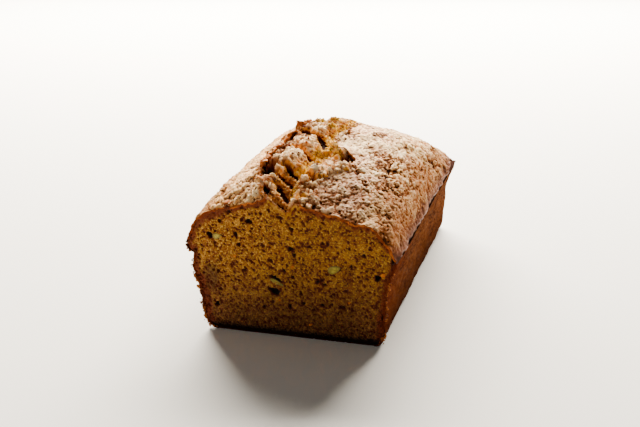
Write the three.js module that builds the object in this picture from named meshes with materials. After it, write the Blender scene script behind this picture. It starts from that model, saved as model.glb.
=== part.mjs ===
// Pumpkin bread: one tin loaf, cut square across its front end, with a long split in its top.
// Millimetres, +Z up. The loaf lies along Y with the cut face towards -Y, and the origin is in
// the middle of its footprint, on the surface that it stands on.
//
// The body is one closed skin:
//   - the top is a grid of rows across the loaf, its columns gathered in the split;
//   - the walls are the same outline carried down in levels, drawn in by the tin's taper;
//   - the cut face and the flat bottom are plain polygons that close it.

import * as THREE from 'three';

// ---------------------------------------------------------------- driving dimensions

const LENGTH = 214; // cut face to the lip at the back
const LIP_HALF = 59.6; // half width over the lip that rose past the tin's rim
const LIP_HEIGHT = 49.8; // the lip above the bottom
const LIP_WAVE = 0.5; // how far the lip rises and falls along its way
const BACK_CORNER = 18; // plan radius of the two back corners, at the lip
const FRONT = -LENGTH / 2;
const BACK = LENGTH / 2;

// The crown: how each half of the roof rises from the lip to the split. The shoulder is the
// height of the rounded edge and the gable the slope inside it, both at the cut and in full.
const LEFT_ROOF = { shoulder: [17.5, 29.5], gable: [0.235, 0.255], reach: [7, 8.5], growth: 20 };
const RIGHT_ROOF = { shoulder: [17.3, 29], gable: [0.17, 0.245], reach: [7, 8.5], growth: 42 };
const ROOF_BLEND = 14; // the two halves blend over this width either side of the split
const BACK_RUN = 93; // the roof starts to fall this far in front of the back lip
const BACK_FALL = 0.77; // share of its rise lost on the way to the back shoulder
const BACK_BEND = 1.4; // over 1 for a roof that falls faster towards the back
const BACK_REACH = 9; // how far in from the back lip its shoulder rounds over
const CURL_HEIGHT = 2.4; // the torn crust edge left of the split curls up this far
const CURL_REACH = 9; // within this distance of the edge
const BUMP_HEIGHT = 0.7; // slow bumps over the whole roof

// The split: a floor line with a broad left flank and a short right one.
const SPLIT_FLOOR_X = -1; // place of the floor line in the front half
const SPLIT_BEND = -50; // behind this place along Y the floor line drifts to the left
const SPLIT_DRIFT = 0.09; // sideways drift per millimetre
const SPLIT_GROWTH = 34; // the split widens over this run behind the cut
const LEFT_FLANK = [10.5, 18]; // width of the left flank, at the cut and in full
const RIGHT_FLANK = [8, 13];
const CLOSED_WIDTH = 0.25; // share of the width that stays as a shallow seam where it closes
const SPLIT_DEPTH = 10; // floor below the roof, in the front half
const SPLIT_SHALLOW = 0.45; // share of that depth lost by the crest of the loaf
const SPLIT_CLOSING = [34, 76]; // the split closes between these places along Y
const EDGE_STEP = 0.3; // share of the depth lost at the torn crust edge
const EDGE_STEP_WIDTH = 0.16; // and the share of the flank's width that this takes
const RIB_PITCH = 9; // torn ribs across the left flank
const RIB_HEIGHT = 2.6;
const RIGHT_RIBS = 0.35; // the right flank's ribs are this much lower
const RIB_SLANT = 0.3; // how far the ribs come forward towards the floor line
const RIB_START = 5; // the ribs rise to their height over this run behind the cut

// Grid of the top.
const LIP_COLUMNS = 12; // columns of sound crust on each side of the split
const LIP_CROWDING = 1.35; // over 1 crowds them towards the lip, where the roof curves most
const LEFT_COLUMNS = 9; // columns down the left flank
const RIGHT_COLUMNS = 6; // and up the right one
const ROW_PITCH = RIB_PITCH / 3;
const CORNER_ROWS = 6; // rows round the back corners

const WALL_WAVE = 0.4; // slow unevenness of the walls

// The walls: drop below the lip, and how far the left and the right wall stand in from it.
const WALL = [
  { drop: 3.6, left: 3.2, right: 0.9 },
  { drop: 8.5, left: 4.2, right: 3.0 },
  { drop: 17, left: 5.4, right: 5.1 },
  { drop: 31, left: 7.8, right: 5.9 },
  { drop: 42, left: 9.7, right: 6.8 },
  { drop: 47, left: 11.9, right: 7.6 },
  { drop: LIP_HEIGHT, left: 14.4, right: 8.8 },
];

// ---------------------------------------------------------------- small helpers

const { clamp, lerp, smoothstep } = THREE.MathUtils;

// Slow unevenness of a baked surface, about -1 to 1.
function wander(a, b, seed) {
  const first = Math.sin(a * 1.0 + seed * 1.7) * Math.cos(b * 0.9 - seed * 2.3);
  const second = Math.sin(a * 2.3 - b * 1.4 + seed * 3.1);
  return 0.6 * first + 0.4 * second;
}

// ---------------------------------------------------------------- outline of the lip

function lipHalf(y) {
  const cornerStart = BACK - BACK_CORNER;
  const intoCorner = clamp(y - cornerStart, 0, BACK_CORNER);
  const cut = BACK_CORNER - Math.sqrt(BACK_CORNER ** 2 - intoCorner ** 2);
  return LIP_HALF - cut;
}

function lipHeight(x, y) {
  return LIP_HEIGHT + LIP_WAVE * wander(y / 21, x / 30, 1);
}

function rowPlaces() {
  const straight = LENGTH - BACK_CORNER;
  const count = Math.round(straight / ROW_PITCH);
  const rows = [];
  for (let i = 0; i <= count; i += 1) rows.push(FRONT + (straight * i) / count);
  for (let i = 1; i <= CORNER_ROWS; i += 1) {
    const turn = (i / CORNER_ROWS) * (Math.PI / 2);
    rows.push(BACK - BACK_CORNER + BACK_CORNER * Math.sin(turn));
  }
  return rows;
}

// ---------------------------------------------------------------- the split

// 1 along the split, falling to 0 where it closes near the back.
function splitOpen(y) {
  return 1 - smoothstep(y, ...SPLIT_CLOSING);
}

// Places across the loaf of the split's floor line and of its two torn edges.
function splitAt(y) {
  const grown = smoothstep(y, FRONT, FRONT + SPLIT_GROWTH);
  const open = lerp(CLOSED_WIDTH, 1, splitOpen(y));
  const drift = SPLIT_DRIFT * Math.max(0, y - SPLIT_BEND);
  const floor = SPLIT_FLOOR_X - drift + 1.2 * wander(y / 15, 0, 2);
  const left = lerp(...LEFT_FLANK, grown) * open * (1 + 0.07 * wander(y / 6, 1, 4));
  const right = lerp(...RIGHT_FLANK, grown) * open * (1 + 0.09 * wander(y / 9, 2, 5));
  return { floor, left: floor - left, right: floor + right };
}

// Depth below the roof at a share across the split: -1 left edge, 0 floor line, 1 right edge.
function splitDepth(across, y) {
  const flank = 1 - Math.abs(across);
  const step = EDGE_STEP * smoothstep(flank, 0, EDGE_STEP_WIDTH);
  const shallow = 1 - SPLIT_SHALLOW * smoothstep(y, SPLIT_BEND, 0);
  return SPLIT_DEPTH * splitOpen(y) * shallow * (step + (1 - EDGE_STEP) * flank);
}

// Ribs like roof tiles: each rises slowly towards the cut and then breaks off.
function ribHeight(across, x, y) {
  const along = (y - FRONT - RIB_SLANT * x) / RIB_PITCH + 0.2 * wander(y / 13, x / 9, 6);
  const tooth = 0.5 - (along - Math.floor(along));
  const side = Math.sin(Math.PI * Math.abs(across)) * (across < 0 ? 1 : RIGHT_RIBS);
  const atCut = smoothstep(y, FRONT, FRONT + RIB_START);
  return RIB_HEIGHT * tooth * side * splitOpen(y) * atCut;
}

// ---------------------------------------------------------------- the roof

function halfRoof(roof, side, y) {
  const grown = 1 - Math.exp(-(y - FRONT) / roof.growth);
  const reach = lerp(...roof.reach, grown);
  const shoulder = lerp(...roof.shoulder, grown) * (1 - Math.exp(-side / reach));
  return shoulder + lerp(...roof.gable, grown) * side;
}

// The rise of the whole roof above the lip, without the split.
function roofRise(x, y) {
  const side = Math.max(0, lipHalf(y) - Math.abs(x));
  const rightShare = smoothstep(x, SPLIT_FLOOR_X - ROOF_BLEND, SPLIT_FLOOR_X + ROOF_BLEND);
  const rise = lerp(halfRoof(LEFT_ROOF, side, y), halfRoof(RIGHT_ROOF, side, y), rightShare);
  const toEdge = splitAt(y).left - x;
  const curl = CURL_HEIGHT * splitOpen(y) * Math.exp(-Math.abs(toEdge) / CURL_REACH);
  const bumps = BUMP_HEIGHT * wander(x / 6.5, y / 7.5, 3) * smoothstep(side, 0, 8);
  return rise + curl * smoothstep(side, 0, 30) + bumps;
}

function roofHeight(x, y) {
  const back = BACK - y;
  const fallen = BACK_FALL * Math.max(0, 1 - back / BACK_RUN) ** BACK_BEND;
  const shoulder = 1 - Math.exp(-back / BACK_REACH);
  return lipHeight(x, y) + roofRise(x, y) * (1 - fallen) * shoulder;
}

// The columns of one row, as [x, share across the split], with no share on sound crust.
function columnsAt(y) {
  const split = splitAt(y);
  const half = lipHalf(y);
  const columns = [];
  const crust = (count, from, to) => {
    for (let i = 0; i < count; i += 1) columns.push([lerp(from, to, (i / count) ** LIP_CROWDING), null]);
  };
  crust(LIP_COLUMNS, -half, split.left);
  for (let i = -LEFT_COLUMNS; i < 0; i += 1) {
    const share = i / LEFT_COLUMNS;
    columns.push([lerp(split.floor, split.left, -share), share]);
  }
  for (let i = 0; i <= RIGHT_COLUMNS; i += 1) {
    const share = i / RIGHT_COLUMNS;
    columns.push([lerp(split.floor, split.right, share), share]);
  }
  const before = columns.length;
  crust(LIP_COLUMNS, half, split.right);
  return [...columns.slice(0, before), ...columns.slice(before).reverse()];
}

function topPoint([x, across], y) {
  const split = across === null ? 0 : ribHeight(across, x, y) - splitDepth(across, y);
  return new THREE.Vector3(x, y, roofHeight(x, y) + split);
}

// ---------------------------------------------------------------- the skin

class Skin {
  constructor() {
    this.positions = [];
    this.indices = [];
  }

  add(point) {
    this.positions.push(point.x, point.y, point.z);
    return this.positions.length / 3 - 1;
  }

  // A band of quads between two equally long rows of vertices.
  band(first, second) {
    for (let i = 0; i + 1 < first.length; i += 1) {
      this.indices.push(first[i], first[i + 1], second[i + 1]);
      this.indices.push(first[i], second[i + 1], second[i]);
    }
  }

  // A flat polygon of vertices already in the skin, given in the order that faces outwards.
  cap(ring, flatten) {
    const contour = ring.map((index) => flatten(...this.positions.slice(index * 3, index * 3 + 3)));
    for (const [a, b, c] of THREE.ShapeUtils.triangulateShape(contour, [])) {
      this.indices.push(ring[a], ring[b], ring[c]);
    }
  }

  geometry() {
    const geometry = new THREE.BufferGeometry();
    geometry.setAttribute('position', new THREE.Float32BufferAttribute(this.positions, 3));
    geometry.setIndex(this.indices);
    geometry.computeVertexNormals();
    return geometry;
  }
}

// The plan direction that points out of the loaf at a point of the lip.
function outward({ x, y }) {
  const sideways = Math.abs(x) - (LIP_HALF - BACK_CORNER);
  const backwards = y - (BACK - BACK_CORNER);
  if (backwards <= 0) return new THREE.Vector2(Math.sign(x), 0);
  if (sideways <= 0) return new THREE.Vector2(0, 1);
  return new THREE.Vector2(Math.sign(x) * sideways, backwards).normalize();
}

// The point of a wall level that stands under a point of the lip.
function wallPoint(lip, level) {
  const rightShare = smoothstep(lip.x, -LIP_HALF / 2, LIP_HALF / 2);
  const uneven = WALL_WAVE * wander(lip.y / 12 + lip.x / 11, level.drop / 9, 7);
  const inward = lerp(level.left, level.right, rightShare) - uneven;
  const direction = outward(lip);
  const z = lip.z * (1 - level.drop / LIP_HEIGHT);
  return new THREE.Vector3(lip.x - direction.x * inward, lip.y - direction.y * inward, z);
}

function buildLoaf() {
  const skin = new Skin();
  const points = rowPlaces().map((y) => columnsAt(y).map((column) => topPoint(column, y)));
  const top = points.map((row) => row.map((point) => skin.add(point)));
  for (let j = 0; j + 1 < top.length; j += 1) skin.band(top[j], top[j + 1]);

  // The lip runs from the front left, round the back, to the front right.
  const alongLip = (rows) => {
    const left = rows.slice(0, -1).map((row) => row[0]);
    const right = rows.slice(0, -1).map((row) => row[row.length - 1]);
    return [...left, ...rows[rows.length - 1], ...right.reverse()];
  };
  const levels = [alongLip(top)];
  for (const level of WALL) {
    levels.push(alongLip(points).map((point) => skin.add(wallPoint(point, level))));
  }
  for (let k = 0; k + 1 < levels.length; k += 1) skin.band(levels[k], levels[k + 1]);

  const walls = levels.slice(1);
  const leftEdge = walls.map((level) => level[0]);
  const rightEdge = walls.map((level) => level[level.length - 1]);
  const cutFace = [...rightEdge.reverse(), ...top[0].toReversed(), ...leftEdge];
  skin.cap(cutFace, (x, y, z) => new THREE.Vector2(x, z));
  skin.cap(walls[walls.length - 1], (x, y) => new THREE.Vector2(x, -y));
  return skin.geometry();
}

// ---------------------------------------------------------------- the model

const bread = new THREE.MeshStandardMaterial({ color: 0x9a6a3c, roughness: 0.85, metalness: 0 });

const loaf = new THREE.Mesh(buildLoaf(), bread);
loaf.name = 'loaf';

const model = new THREE.Group();
model.add(loaf);

export default model;
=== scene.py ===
# %% [markdown]
# # Pumpkin bread loaf
# A loaf baked in a tin has few parts but many surfaces: a domed top crust, a split where the dome tore open
# in the oven, smooth sides where the batter met the tin, and a cut face full of small bubbles. The packed
# model gives the whole loaf as one smooth solid. This lesson keeps its size and place and remakes each
# surface with its real relief. It starts by loading that solid.

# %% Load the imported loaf
import itertools
import math

import bpy
import numpy as np
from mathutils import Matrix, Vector


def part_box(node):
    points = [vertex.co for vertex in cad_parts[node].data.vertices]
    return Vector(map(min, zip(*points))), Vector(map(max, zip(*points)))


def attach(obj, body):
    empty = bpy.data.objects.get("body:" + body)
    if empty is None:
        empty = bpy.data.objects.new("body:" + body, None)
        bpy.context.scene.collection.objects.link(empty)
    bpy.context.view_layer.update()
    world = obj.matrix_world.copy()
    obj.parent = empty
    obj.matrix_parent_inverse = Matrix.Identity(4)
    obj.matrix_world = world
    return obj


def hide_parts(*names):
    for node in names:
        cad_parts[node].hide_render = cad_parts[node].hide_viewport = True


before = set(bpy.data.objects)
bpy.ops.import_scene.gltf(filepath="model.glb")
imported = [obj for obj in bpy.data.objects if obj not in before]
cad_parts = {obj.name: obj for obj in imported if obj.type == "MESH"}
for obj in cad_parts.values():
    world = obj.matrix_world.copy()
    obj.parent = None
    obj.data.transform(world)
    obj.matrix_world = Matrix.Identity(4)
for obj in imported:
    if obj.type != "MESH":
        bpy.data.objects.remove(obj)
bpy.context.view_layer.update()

low, high = [np.array(corner) * 1000 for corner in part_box("loaf")]
FRONT, BACK = low[1], high[1]
LIP_HALF = (high[0] - low[0]) / 2
print("loaf box in millimetres:", low.round(1), high.round(1))

# %% [markdown]
# ## The camera
# The camera comes first, because every later choice of detail depends on how near it stands. It could be
# aimed by hand in the viewport, but a place and a direction in numbers give the same view each time. It looks
# down at the cut face from the right, through a lens a little longer than normal.

# %% Place the camera
CAMERA_AT = Vector((0.1670, -0.6638, 0.2735))
CAMERA_LOOKS = Vector((-0.2457, 0.9125, -0.3272))
camera_data = bpy.data.cameras.new("camera")
camera_data.lens = 64.69
camera_data.sensor_width = 36
camera = bpy.data.objects.new("camera", camera_data)
bpy.context.collection.objects.link(camera)
camera.location = CAMERA_AT
camera.rotation_euler = CAMERA_LOOKS.to_track_quat("-Z", "Y").to_euler()
bpy.context.scene.camera = camera
print("camera looks down", round(math.degrees(math.asin(-CAMERA_LOOKS.normalized().z)), 1), "degrees")

# %% [markdown]
# ## Light and floor
# A window behind the loaf gives the crust its pale sheen and leaves the cut face in soft shade. One large
# area light stands in for it, a weak one for the room in front, and the world fills the rest. A small hard
# lamp would be simpler, but it would draw sharp shadows between the ribs.

# %% Lay the floor and hang the lights
def colour(red, green, blue):
    """A colour as seen on a screen, 0 to 255, turned into the linear numbers that shaders use."""
    screen = np.array([red, green, blue]) / 255
    linear = np.where(screen <= 0.04045, screen / 12.92, ((screen + 0.055) / 1.055) ** 2.4)
    return (*linear.tolist(), 1.0)


def soft_light(name, place, target, width, height, power, tint):
    """A rectangular light at place, turned towards target."""
    data = bpy.data.lights.new(name, "AREA")
    data.shape = "RECTANGLE"
    data.size, data.size_y = width, height
    data.energy = power
    data.color = colour(*tint)[:3]
    lamp = bpy.data.objects.new(name, data)
    lamp.location = place
    lamp.rotation_euler = (Vector(target) - Vector(place)).to_track_quat("-Z", "Y").to_euler()
    bpy.context.collection.objects.link(lamp)
    return lamp


soft_light("window", (-0.25, 1.05, 0.6), (0, 0, 0.05), 1.4, 0.8, 214, (255, 246, 230))
soft_light("room", (-0.42, -0.42, 0.3), (0, -0.107, 0.04), 0.4, 0.4, 0.34, (255, 244, 228))
world = bpy.data.worlds.new("room light")
world.use_nodes = True
background = world.node_tree.nodes["Background"]
background.inputs["Color"].default_value = colour(250, 244, 236)
background.inputs["Strength"].default_value = 0.14
bpy.context.scene.world = world

floor_mesh = bpy.data.meshes.new("floor")
FLOOR_HALF = 4
floor_corners = [(FLOOR_HALF * x, FLOOR_HALF * y, 0) for x, y in ((-1, -1), (1, -1), (1, 1), (-1, 1))]
floor_mesh.from_pydata(floor_corners, [], [(0, 1, 2, 3)])
floor = bpy.data.objects.new("floor", floor_mesh)
bpy.context.collection.objects.link(floor)
floor_finish = bpy.data.materials.new("pale_floor")
floor_finish.use_nodes = True
floor_shader = floor_finish.node_tree.nodes["Principled BSDF"]
floor_shader.inputs["Base Color"].default_value = colour(226, 224, 220)
floor_shader.inputs["Roughness"].default_value = 0.8
floor_mesh.materials.append(floor_finish)
print("floor and", len(bpy.data.lights), "lights ready")

# %% [markdown]
# ## Randomness that can be repeated
# Bread is uneven at every scale, from the slow swell of the dome to bubbles under a millimetre. A random
# number generator would do for scattered crumbs, but a surface needs randomness that belongs to a place, so
# that two surfaces meeting there agree. So whole-number cells in space are hashed to fixed numbers. Smooth
# bumps come from blending the corners of a cell, and lumps with cracks between them from the nearest
# scattered point.

# %% Numbers that belong to a place
def mix(a, b, t):
    """a where t is 0, b where t is 1, and in between a straight blend."""
    return a + (b - a) * t


def share(value, start, end):
    """0 before start, 1 after end, and an easy curve between them."""
    t = np.clip((value - start) / (end - start), 0, 1)
    return t * t * (3 - 2 * t)


LOW_BITS = 0xFFFFFFFF


def scatter(cell, seed, count):
    """count fixed numbers from 0 to 1 for every whole-number cell. The large numbers only stir the bits."""
    mixed = (cell[..., 0] * 73856093) ^ (cell[..., 1] * 19349663) ^ (cell[..., 2] * 83492791)
    mixed = (mixed ^ (seed * 40503 + 977)) & LOW_BITS
    numbers = []
    for turn in range(count):
        mixed = ((mixed ^ (mixed >> 15)) * 739982445 + 374761393 * (turn + 1)) & LOW_BITS
        mixed = ((mixed ^ (mixed >> 13)) * 1540483477) & LOW_BITS
        mixed = mixed ^ (mixed >> 16)
        numbers.append(mixed / (LOW_BITS + 1))
    return np.stack(numbers, -1)


def rough(points, size, seed):
    """Smooth bumps about size millimetres across, from about -1 to 1."""
    place = points / size
    cell = np.floor(place).astype(np.int64)
    inside = place - cell
    ease = inside ** 3 * (inside * (inside * 6 - 15) + 10)
    total = np.zeros(place.shape[:-1])
    for corner in itertools.product((0, 1), repeat=3):
        lean = scatter(cell + np.array(corner), seed, 3) * 2 - 1
        weight = np.prod(np.where(corner, ease, 1 - ease), axis=-1)
        total += weight * (lean * (inside - np.array(corner))).sum(-1)
    return total * 1.5


def rough_way(points, size, seeds):
    """Three bumps in one, to push points about in every direction."""
    return np.stack([rough(points, size, seed) for seed in seeds], -1)


def lumps(points, size, seed):
    """Distances to the nearest and next scattered point, in sizes, and a fixed number for the nearest."""
    place = points / size
    cell = np.floor(place).astype(np.int64)
    nearest = np.full(place.shape[:-1], 9.0)
    second = nearest.copy()
    owner = np.zeros_like(nearest)
    for offset in itertools.product((-1, 0, 1), repeat=3):
        home = cell + np.array(offset)
        numbers = scatter(home, seed, 4)
        distance = np.sqrt(((home + numbers[..., :3] - place) ** 2).sum(-1))
        closer = distance < nearest
        second = np.where(closer, nearest, np.minimum(second, distance))
        owner = np.where(closer, numbers[..., 3], owner)
        nearest = np.minimum(nearest, distance)
    return nearest, second, owner


def along(y):
    """Points on the loaf's long axis, for bumps that depend on y alone."""
    y = np.asarray(y, dtype=float)
    return np.stack([np.zeros_like(y), y, np.zeros_like(y)], -1)


print("bumps and lumps ready")

# %% [markdown]
# ## The loaf's own shape
# These functions say where the loaf's surfaces are before any fine relief. They could be read off the packed
# solid, but its facets would show, so they repeat its rules instead: the dome rises fast from the lip and
# then gently to the split, more steeply on the left. Towards the back it falls again. The sides lean in to
# the narrower bottom of the tin.

# %% Height of the dome
LIP_HEIGHT, LIP_WAVE, BACK_CORNER = 49.8, 0.5, 18.0


def wander(a, b, seed):
    """A slow wave in two directions, from -1 to 1."""
    slow = 0.6 * np.sin(a + seed * 1.7) * np.cos(b * 0.9 - seed * 2.3)
    return slow + 0.4 * np.sin(a * 2.3 - b * 1.4 + seed * 3.1)


def lip_half(y):
    """Half the width at the lip, less in the rounded back corners."""
    into = np.clip(y - (BACK - BACK_CORNER), 0, BACK_CORNER)
    return LIP_HALF - (BACK_CORNER - np.sqrt(BACK_CORNER ** 2 - into ** 2))


def lip_height(x, y):
    """Height of the lip above the floor, a little uneven and sunk at the back right."""
    sunk_corner = 3.2 * share(y, 89, 101) * share(x, 10, 45)
    return LIP_HEIGHT + LIP_WAVE * wander(y / 21, x / 30, 1) - sunk_corner


def gape(y):
    """1 where the dome swells beside the split, 0 behind it."""
    return 1 - share(y, 34, 76)


def half_roof(shoulder, gable, reach, growth, side, y):
    """The rise of one side of the dome at a distance side in from the lip."""
    grown = 1 - np.exp(-(y - FRONT) / growth)
    swell = mix(*shoulder, grown) * (1 - np.exp(-side / mix(*reach, grown)))
    return swell + mix(*gable, grown) * side


def roof(x, y):
    """Height of the dome before any fine relief."""
    side = np.maximum(0, lip_half(y) - np.abs(x))
    left = half_roof((17.5, 29.5), (0.235, 0.255), (3.9, 8.5), 20, side, y)
    right = half_roof((17.3, 29.0), (0.17, 0.245), (7, 8.5), 42, side, y)
    rise = mix(left, right, share(x, -15, 13))
    grown = share(y, FRONT, FRONT + 34)
    middle = -1 - 0.09 * np.maximum(0, y + 50) + 1.2 * wander(y / 15, 0 * y, 2)
    left_edge = middle - mix(10.5, 18, grown) * mix(0.25, 1, gape(y)) * (1 + 0.07 * wander(y / 6, 1, 4))
    # a swelling beside the split, the slow waves, a dip and a hump on the dome and the sunk back right
    rise = rise + 2.4 * gape(y) * np.exp(-np.abs(left_edge - x) / 9) * share(side, 0, 30)
    rise = rise + 0.7 * wander(x / 6.5, y / 7.5, 3) * share(side, 0, 8)
    rise = rise - 2.0 * np.exp(-((x - 7) / 10) ** 2 - ((y - 42) / 30) ** 2)
    rise = rise + 1.2 * np.exp(-((x + 16) / 9) ** 2 - ((y - 4) / 14) ** 2)
    rise = rise - 10 * share(x, 10, 30) * share(y, 58, 90) * share(side, 0, 3) * np.exp(-side / 8)
    back = BACK - y
    fallen = 0.77 * np.maximum(0, 1 - back / 93) ** 1.4
    return lip_height(x, y) + rise * (1 - fallen) * (1 - np.exp(-back / 9))


print("crest of the dome:", roof(np.array([-12.0]), np.array([45.0])).round(1), "mm")

# %% Walls that lean in to the bottom of the tin
# how far each wall stands in from the lip at some drops below it
WALL_DROPS = (0, 3.6, 8.5, 17, 31, 42, 47, LIP_HEIGHT)
LEFT_INSET = (0, 3.2, 4.2, 5.4, 7.8, 9.7, 11.9, 14.4)
# at the cut the left side has a thick lip, a hollow below it and a bulge below that
CUT_DROPS = (0, 1.6, 3.7, 5.7, 9, 13, 16, 21, 26.5, 31, 36, 42, 47, LIP_HEIGHT)
CUT_INSET = (0, -0.4, 0.8, 4.2, 3.7, 2.7, 3.4, 5.3, 6.9, 7.5, 8.6, 9.6, 11.6, 14.3)
RIGHT_INSET = (0, 0.45, 2.6, 5.0, 5.9, 6.8, 7.6, 8.8)


def rim_walk(count):
    """The lip's outline from above, from front right round the back to front left, and which way is out."""
    corner = np.linspace(0, math.pi / 2, 90)
    straight = np.linspace(FRONT, BACK - BACK_CORNER, 200)
    turn_x, turn_y = LIP_HALF - BACK_CORNER, BACK - BACK_CORNER
    x = np.concatenate([np.full(200, LIP_HALF), turn_x + BACK_CORNER * np.cos(corner),
                        np.linspace(turn_x, -turn_x, 100), -turn_x - BACK_CORNER * np.sin(corner),
                        np.full(200, -LIP_HALF)])
    y = np.concatenate([straight, turn_y + BACK_CORNER * np.sin(corner),
                        np.full(100, BACK), turn_y + BACK_CORNER * np.cos(corner), straight[::-1]])
    walked = np.concatenate([[0], np.cumsum(np.hypot(np.diff(x), np.diff(y)))])
    even = np.linspace(0, walked[-1], count)
    x, y = np.interp(even, walked, x), np.interp(even, walked, y)
    into = np.clip(y - turn_y, 0, None)
    aside = np.where(into > 0, np.clip(np.abs(x) - turn_x, 0, None), 1.0) * np.sign(x)
    length = np.hypot(aside, into)
    return x, y, aside / length, into / length


def wall_point(x, y, out_x, out_y, drop):
    """A point on the tin side, drop millimetres below the lip."""
    left = mix(np.interp(drop, CUT_DROPS, CUT_INSET), np.interp(drop, WALL_DROPS, LEFT_INSET),
               share(y, FRONT + 4, FRONT + 30))
    inset = mix(left, np.interp(drop, WALL_DROPS, RIGHT_INSET), share(x, -LIP_HALF / 2, LIP_HALF / 2))
    inset = inset - 0.4 * wander(y / 12 + x / 11, drop / 9, 7) * share(drop, 0, 6)
    return np.stack([x - out_x * inset, y - out_y * inset, lip_height(x, y) * (1 - drop / LIP_HEIGHT)], -1)


lip_outline = np.array(rim_walk(900)[:2])
print("walk round the lip:", round(float(np.hypot(*np.diff(lip_outline)).sum())), "mm")

# %% [markdown]
# ## Making closed pieces from grids
# Every surface here is a net of points that follows the loaf. A net alone has no thickness and shows a black
# back wherever light gets behind it. Solidify would double every face. Instead the border of the net is
# turned in like a hem, which gives the visible thickness, and then closed to one point deep inside the loaf,
# where nothing can see it. Measures are in millimetres until the mesh is made.

# %% From a net of points to a closed piece
def border_loop(rows, columns):
    """Numbers of the border points, once round the net."""
    number = np.arange(rows * columns).reshape(rows, columns)
    return np.concatenate([number[0, :-1], number[:-1, -1], number[-1, :0:-1], number[:0:-1, 0]])


def by_side(rows, columns, front, end, back, start):
    """One value for each border point, from the values of the net's four sides, eased round the corners."""
    sides = [(front, columns - 1), (end, rows - 1), (back, columns - 1), (start, rows - 1)]
    values = np.concatenate([np.broadcast_to(np.asarray(v, float), (n, np.size(v))) for v, n in sides])
    for _ in range(2):
        values = (np.roll(values, 1, 0) + 2 * values + np.roll(values, -1, 0)) / 4
    return values


def net_normals(net):
    """Outward directions of a net whose rows and columns run anticlockwise."""
    normals = np.cross(np.gradient(net, axis=1), np.gradient(net, axis=0))
    return normals / np.maximum(np.linalg.norm(normals, axis=-1, keepdims=True), 1e-9)


def net_piece(name, net, hems, heart, marks, crease=(), hem_marks=None):
    """A closed mesh object: the net, its hems one after another, and a closing point inside."""
    rows, columns = net.shape[:2]
    rim = border_loop(rows, columns)
    count = rows * columns
    number = np.arange(count).reshape(rows, columns)
    corners = (number[:-1, :-1], number[:-1, 1:], number[1:, 1:], number[1:, :-1])
    quads = [np.stack(corners, -1).reshape(-1, 4)]
    points = [net.reshape(-1, 3)]
    outer = rim
    for hem in hems:
        inner = count + np.arange(len(rim))
        quads.append(np.stack([np.roll(outer, -1), outer, inner, np.roll(inner, -1)], -1))
        points.append(hem)
        count += len(rim)
        outer = inner
    points.append(np.array([heart]))
    fan = np.stack([np.roll(outer, -1), outer, np.full(len(outer), count)], -1)
    mesh = bpy.data.meshes.new(name)
    mesh.from_pydata((np.concatenate(points) / 1000).tolist(), [],
                     np.concatenate(quads).tolist() + fan.tolist())
    mesh.shade_smooth()
    for title, values in marks.items():
        layer = mesh.attributes.new(title, "FLOAT", "POINT")
        values = values.reshape(-1)
        hem_values = np.tile((hem_marks or {}).get(title, values[rim]), len(hems))
        layer.data.foreach_set("value", np.concatenate([values, hem_values, [values.mean()]]))
    if len(crease):
        sharp = set(rim[crease].tolist())
        layer = mesh.attributes.new("sharp_edge", "BOOLEAN", "EDGE")
        ends = np.empty(len(mesh.edges) * 2, dtype=np.int32)
        mesh.edges.foreach_get("vertices", ends)
        flags = np.isin(ends.reshape(-1, 2), list(sharp)).all(1)
        layer.data.foreach_set("value", flags)
    piece = bpy.data.objects.new(name, mesh)
    bpy.context.collection.objects.link(piece)
    triangles = 2 * sum(len(q) for q in quads) + len(fan)
    print(f"{name}: {rows} x {columns} net, {triangles} triangles")
    return piece


def even_shares(line, count):
    """Where to stop along a line of points so that the stops are equally far apart."""
    walked = np.concatenate([[0], np.cumsum(np.linalg.norm(np.diff(line, axis=0), axis=1))])
    return np.interp(np.linspace(0, walked[-1], count), walked, np.linspace(0, 1, len(line)))


print("a net of 3 x 3 points has", len(border_loop(3, 3)), "points on its border")

# %% [markdown]
# ## The top crust
# The dome's skin dried and browned while the batter under it still rose, so it is broken into plates and
# lumps with cracks between them, pitted by burst bubbles, and grainy like fine sand. Bump mapping alone would
# leave the outline smooth, so the net is fine enough to carry all of it down to about a millimetre. The dome
# is made in two halves, one each side of the split, because each ends in a torn edge of its own.

# %% Edges of the split, as wide as it gapes
# how far the torn edges stand off to the left and right of the floor, at places from the cut to the back
GAPE_AT = (-107, -98, -93, -87, -83, -77, -66, -59, -46, -40, -34, -29, -18, 5, 20, 45, 76, 101)
LEFT_WIDTH = (11.2, 15, 16.5, 18.3, 19.5, 20.8, 23, 24.3, 25.5, 26.3, 27, 27.5, 27, 25, 22, 14, 5, 0)
RIGHT_WIDTH = (7.3, 9.8, 13.6, 14.2, 12, 14.8, 17, 20, 22.0, 21.0, 14.5, 5.6, 5.6, 4.4, 4, 3.5, 1.5, 0)
# for each slot under the right lip: its middle and half its length
LIP_SLOTS = ((-90, 5), (-57, 26), (1, 18), (30, 7), (49, 11))
# for each cave under a torn edge: its middle x and y, half its width, half its length and its depth
CAVES = ((-15.9, -97.6, 2.7, 5.2, 5.5), (-22.4, -71.5, 5.0, 10.5, 8.5), (-22.6, -48.0, 3.5, 6.0, 5.5),
         (-26.2, -31.5, 2.8, 3.4, 4.5), (-26.6, -20.0, 2.6, 3.6, 4.5), (-26.0, -8.5, 2.4, 3.0, 3.5),
         (-24.0, 3.0, 2.2, 2.6, 3.0), (11.4, -92.8, 3.3, 4.2, 5.0), (16.6, -42.5, 5.6, 10.5, 9.0))


def floor_x(y):
    """The line along the bottom of the split."""
    at = (-107, -103, -95, -86, -74, -69, -63, -43, -30, -12, 3, 20, 45, 76, 101)
    floor_at = (-1.6, -2.4, -2.9, -4.5, -4.2, -3.2, -1.7, -0.5, 0.4, -0.4, 1.7, 2.8, 1.5, -2, -5)
    return np.interp(y, at, floor_at)


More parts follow.
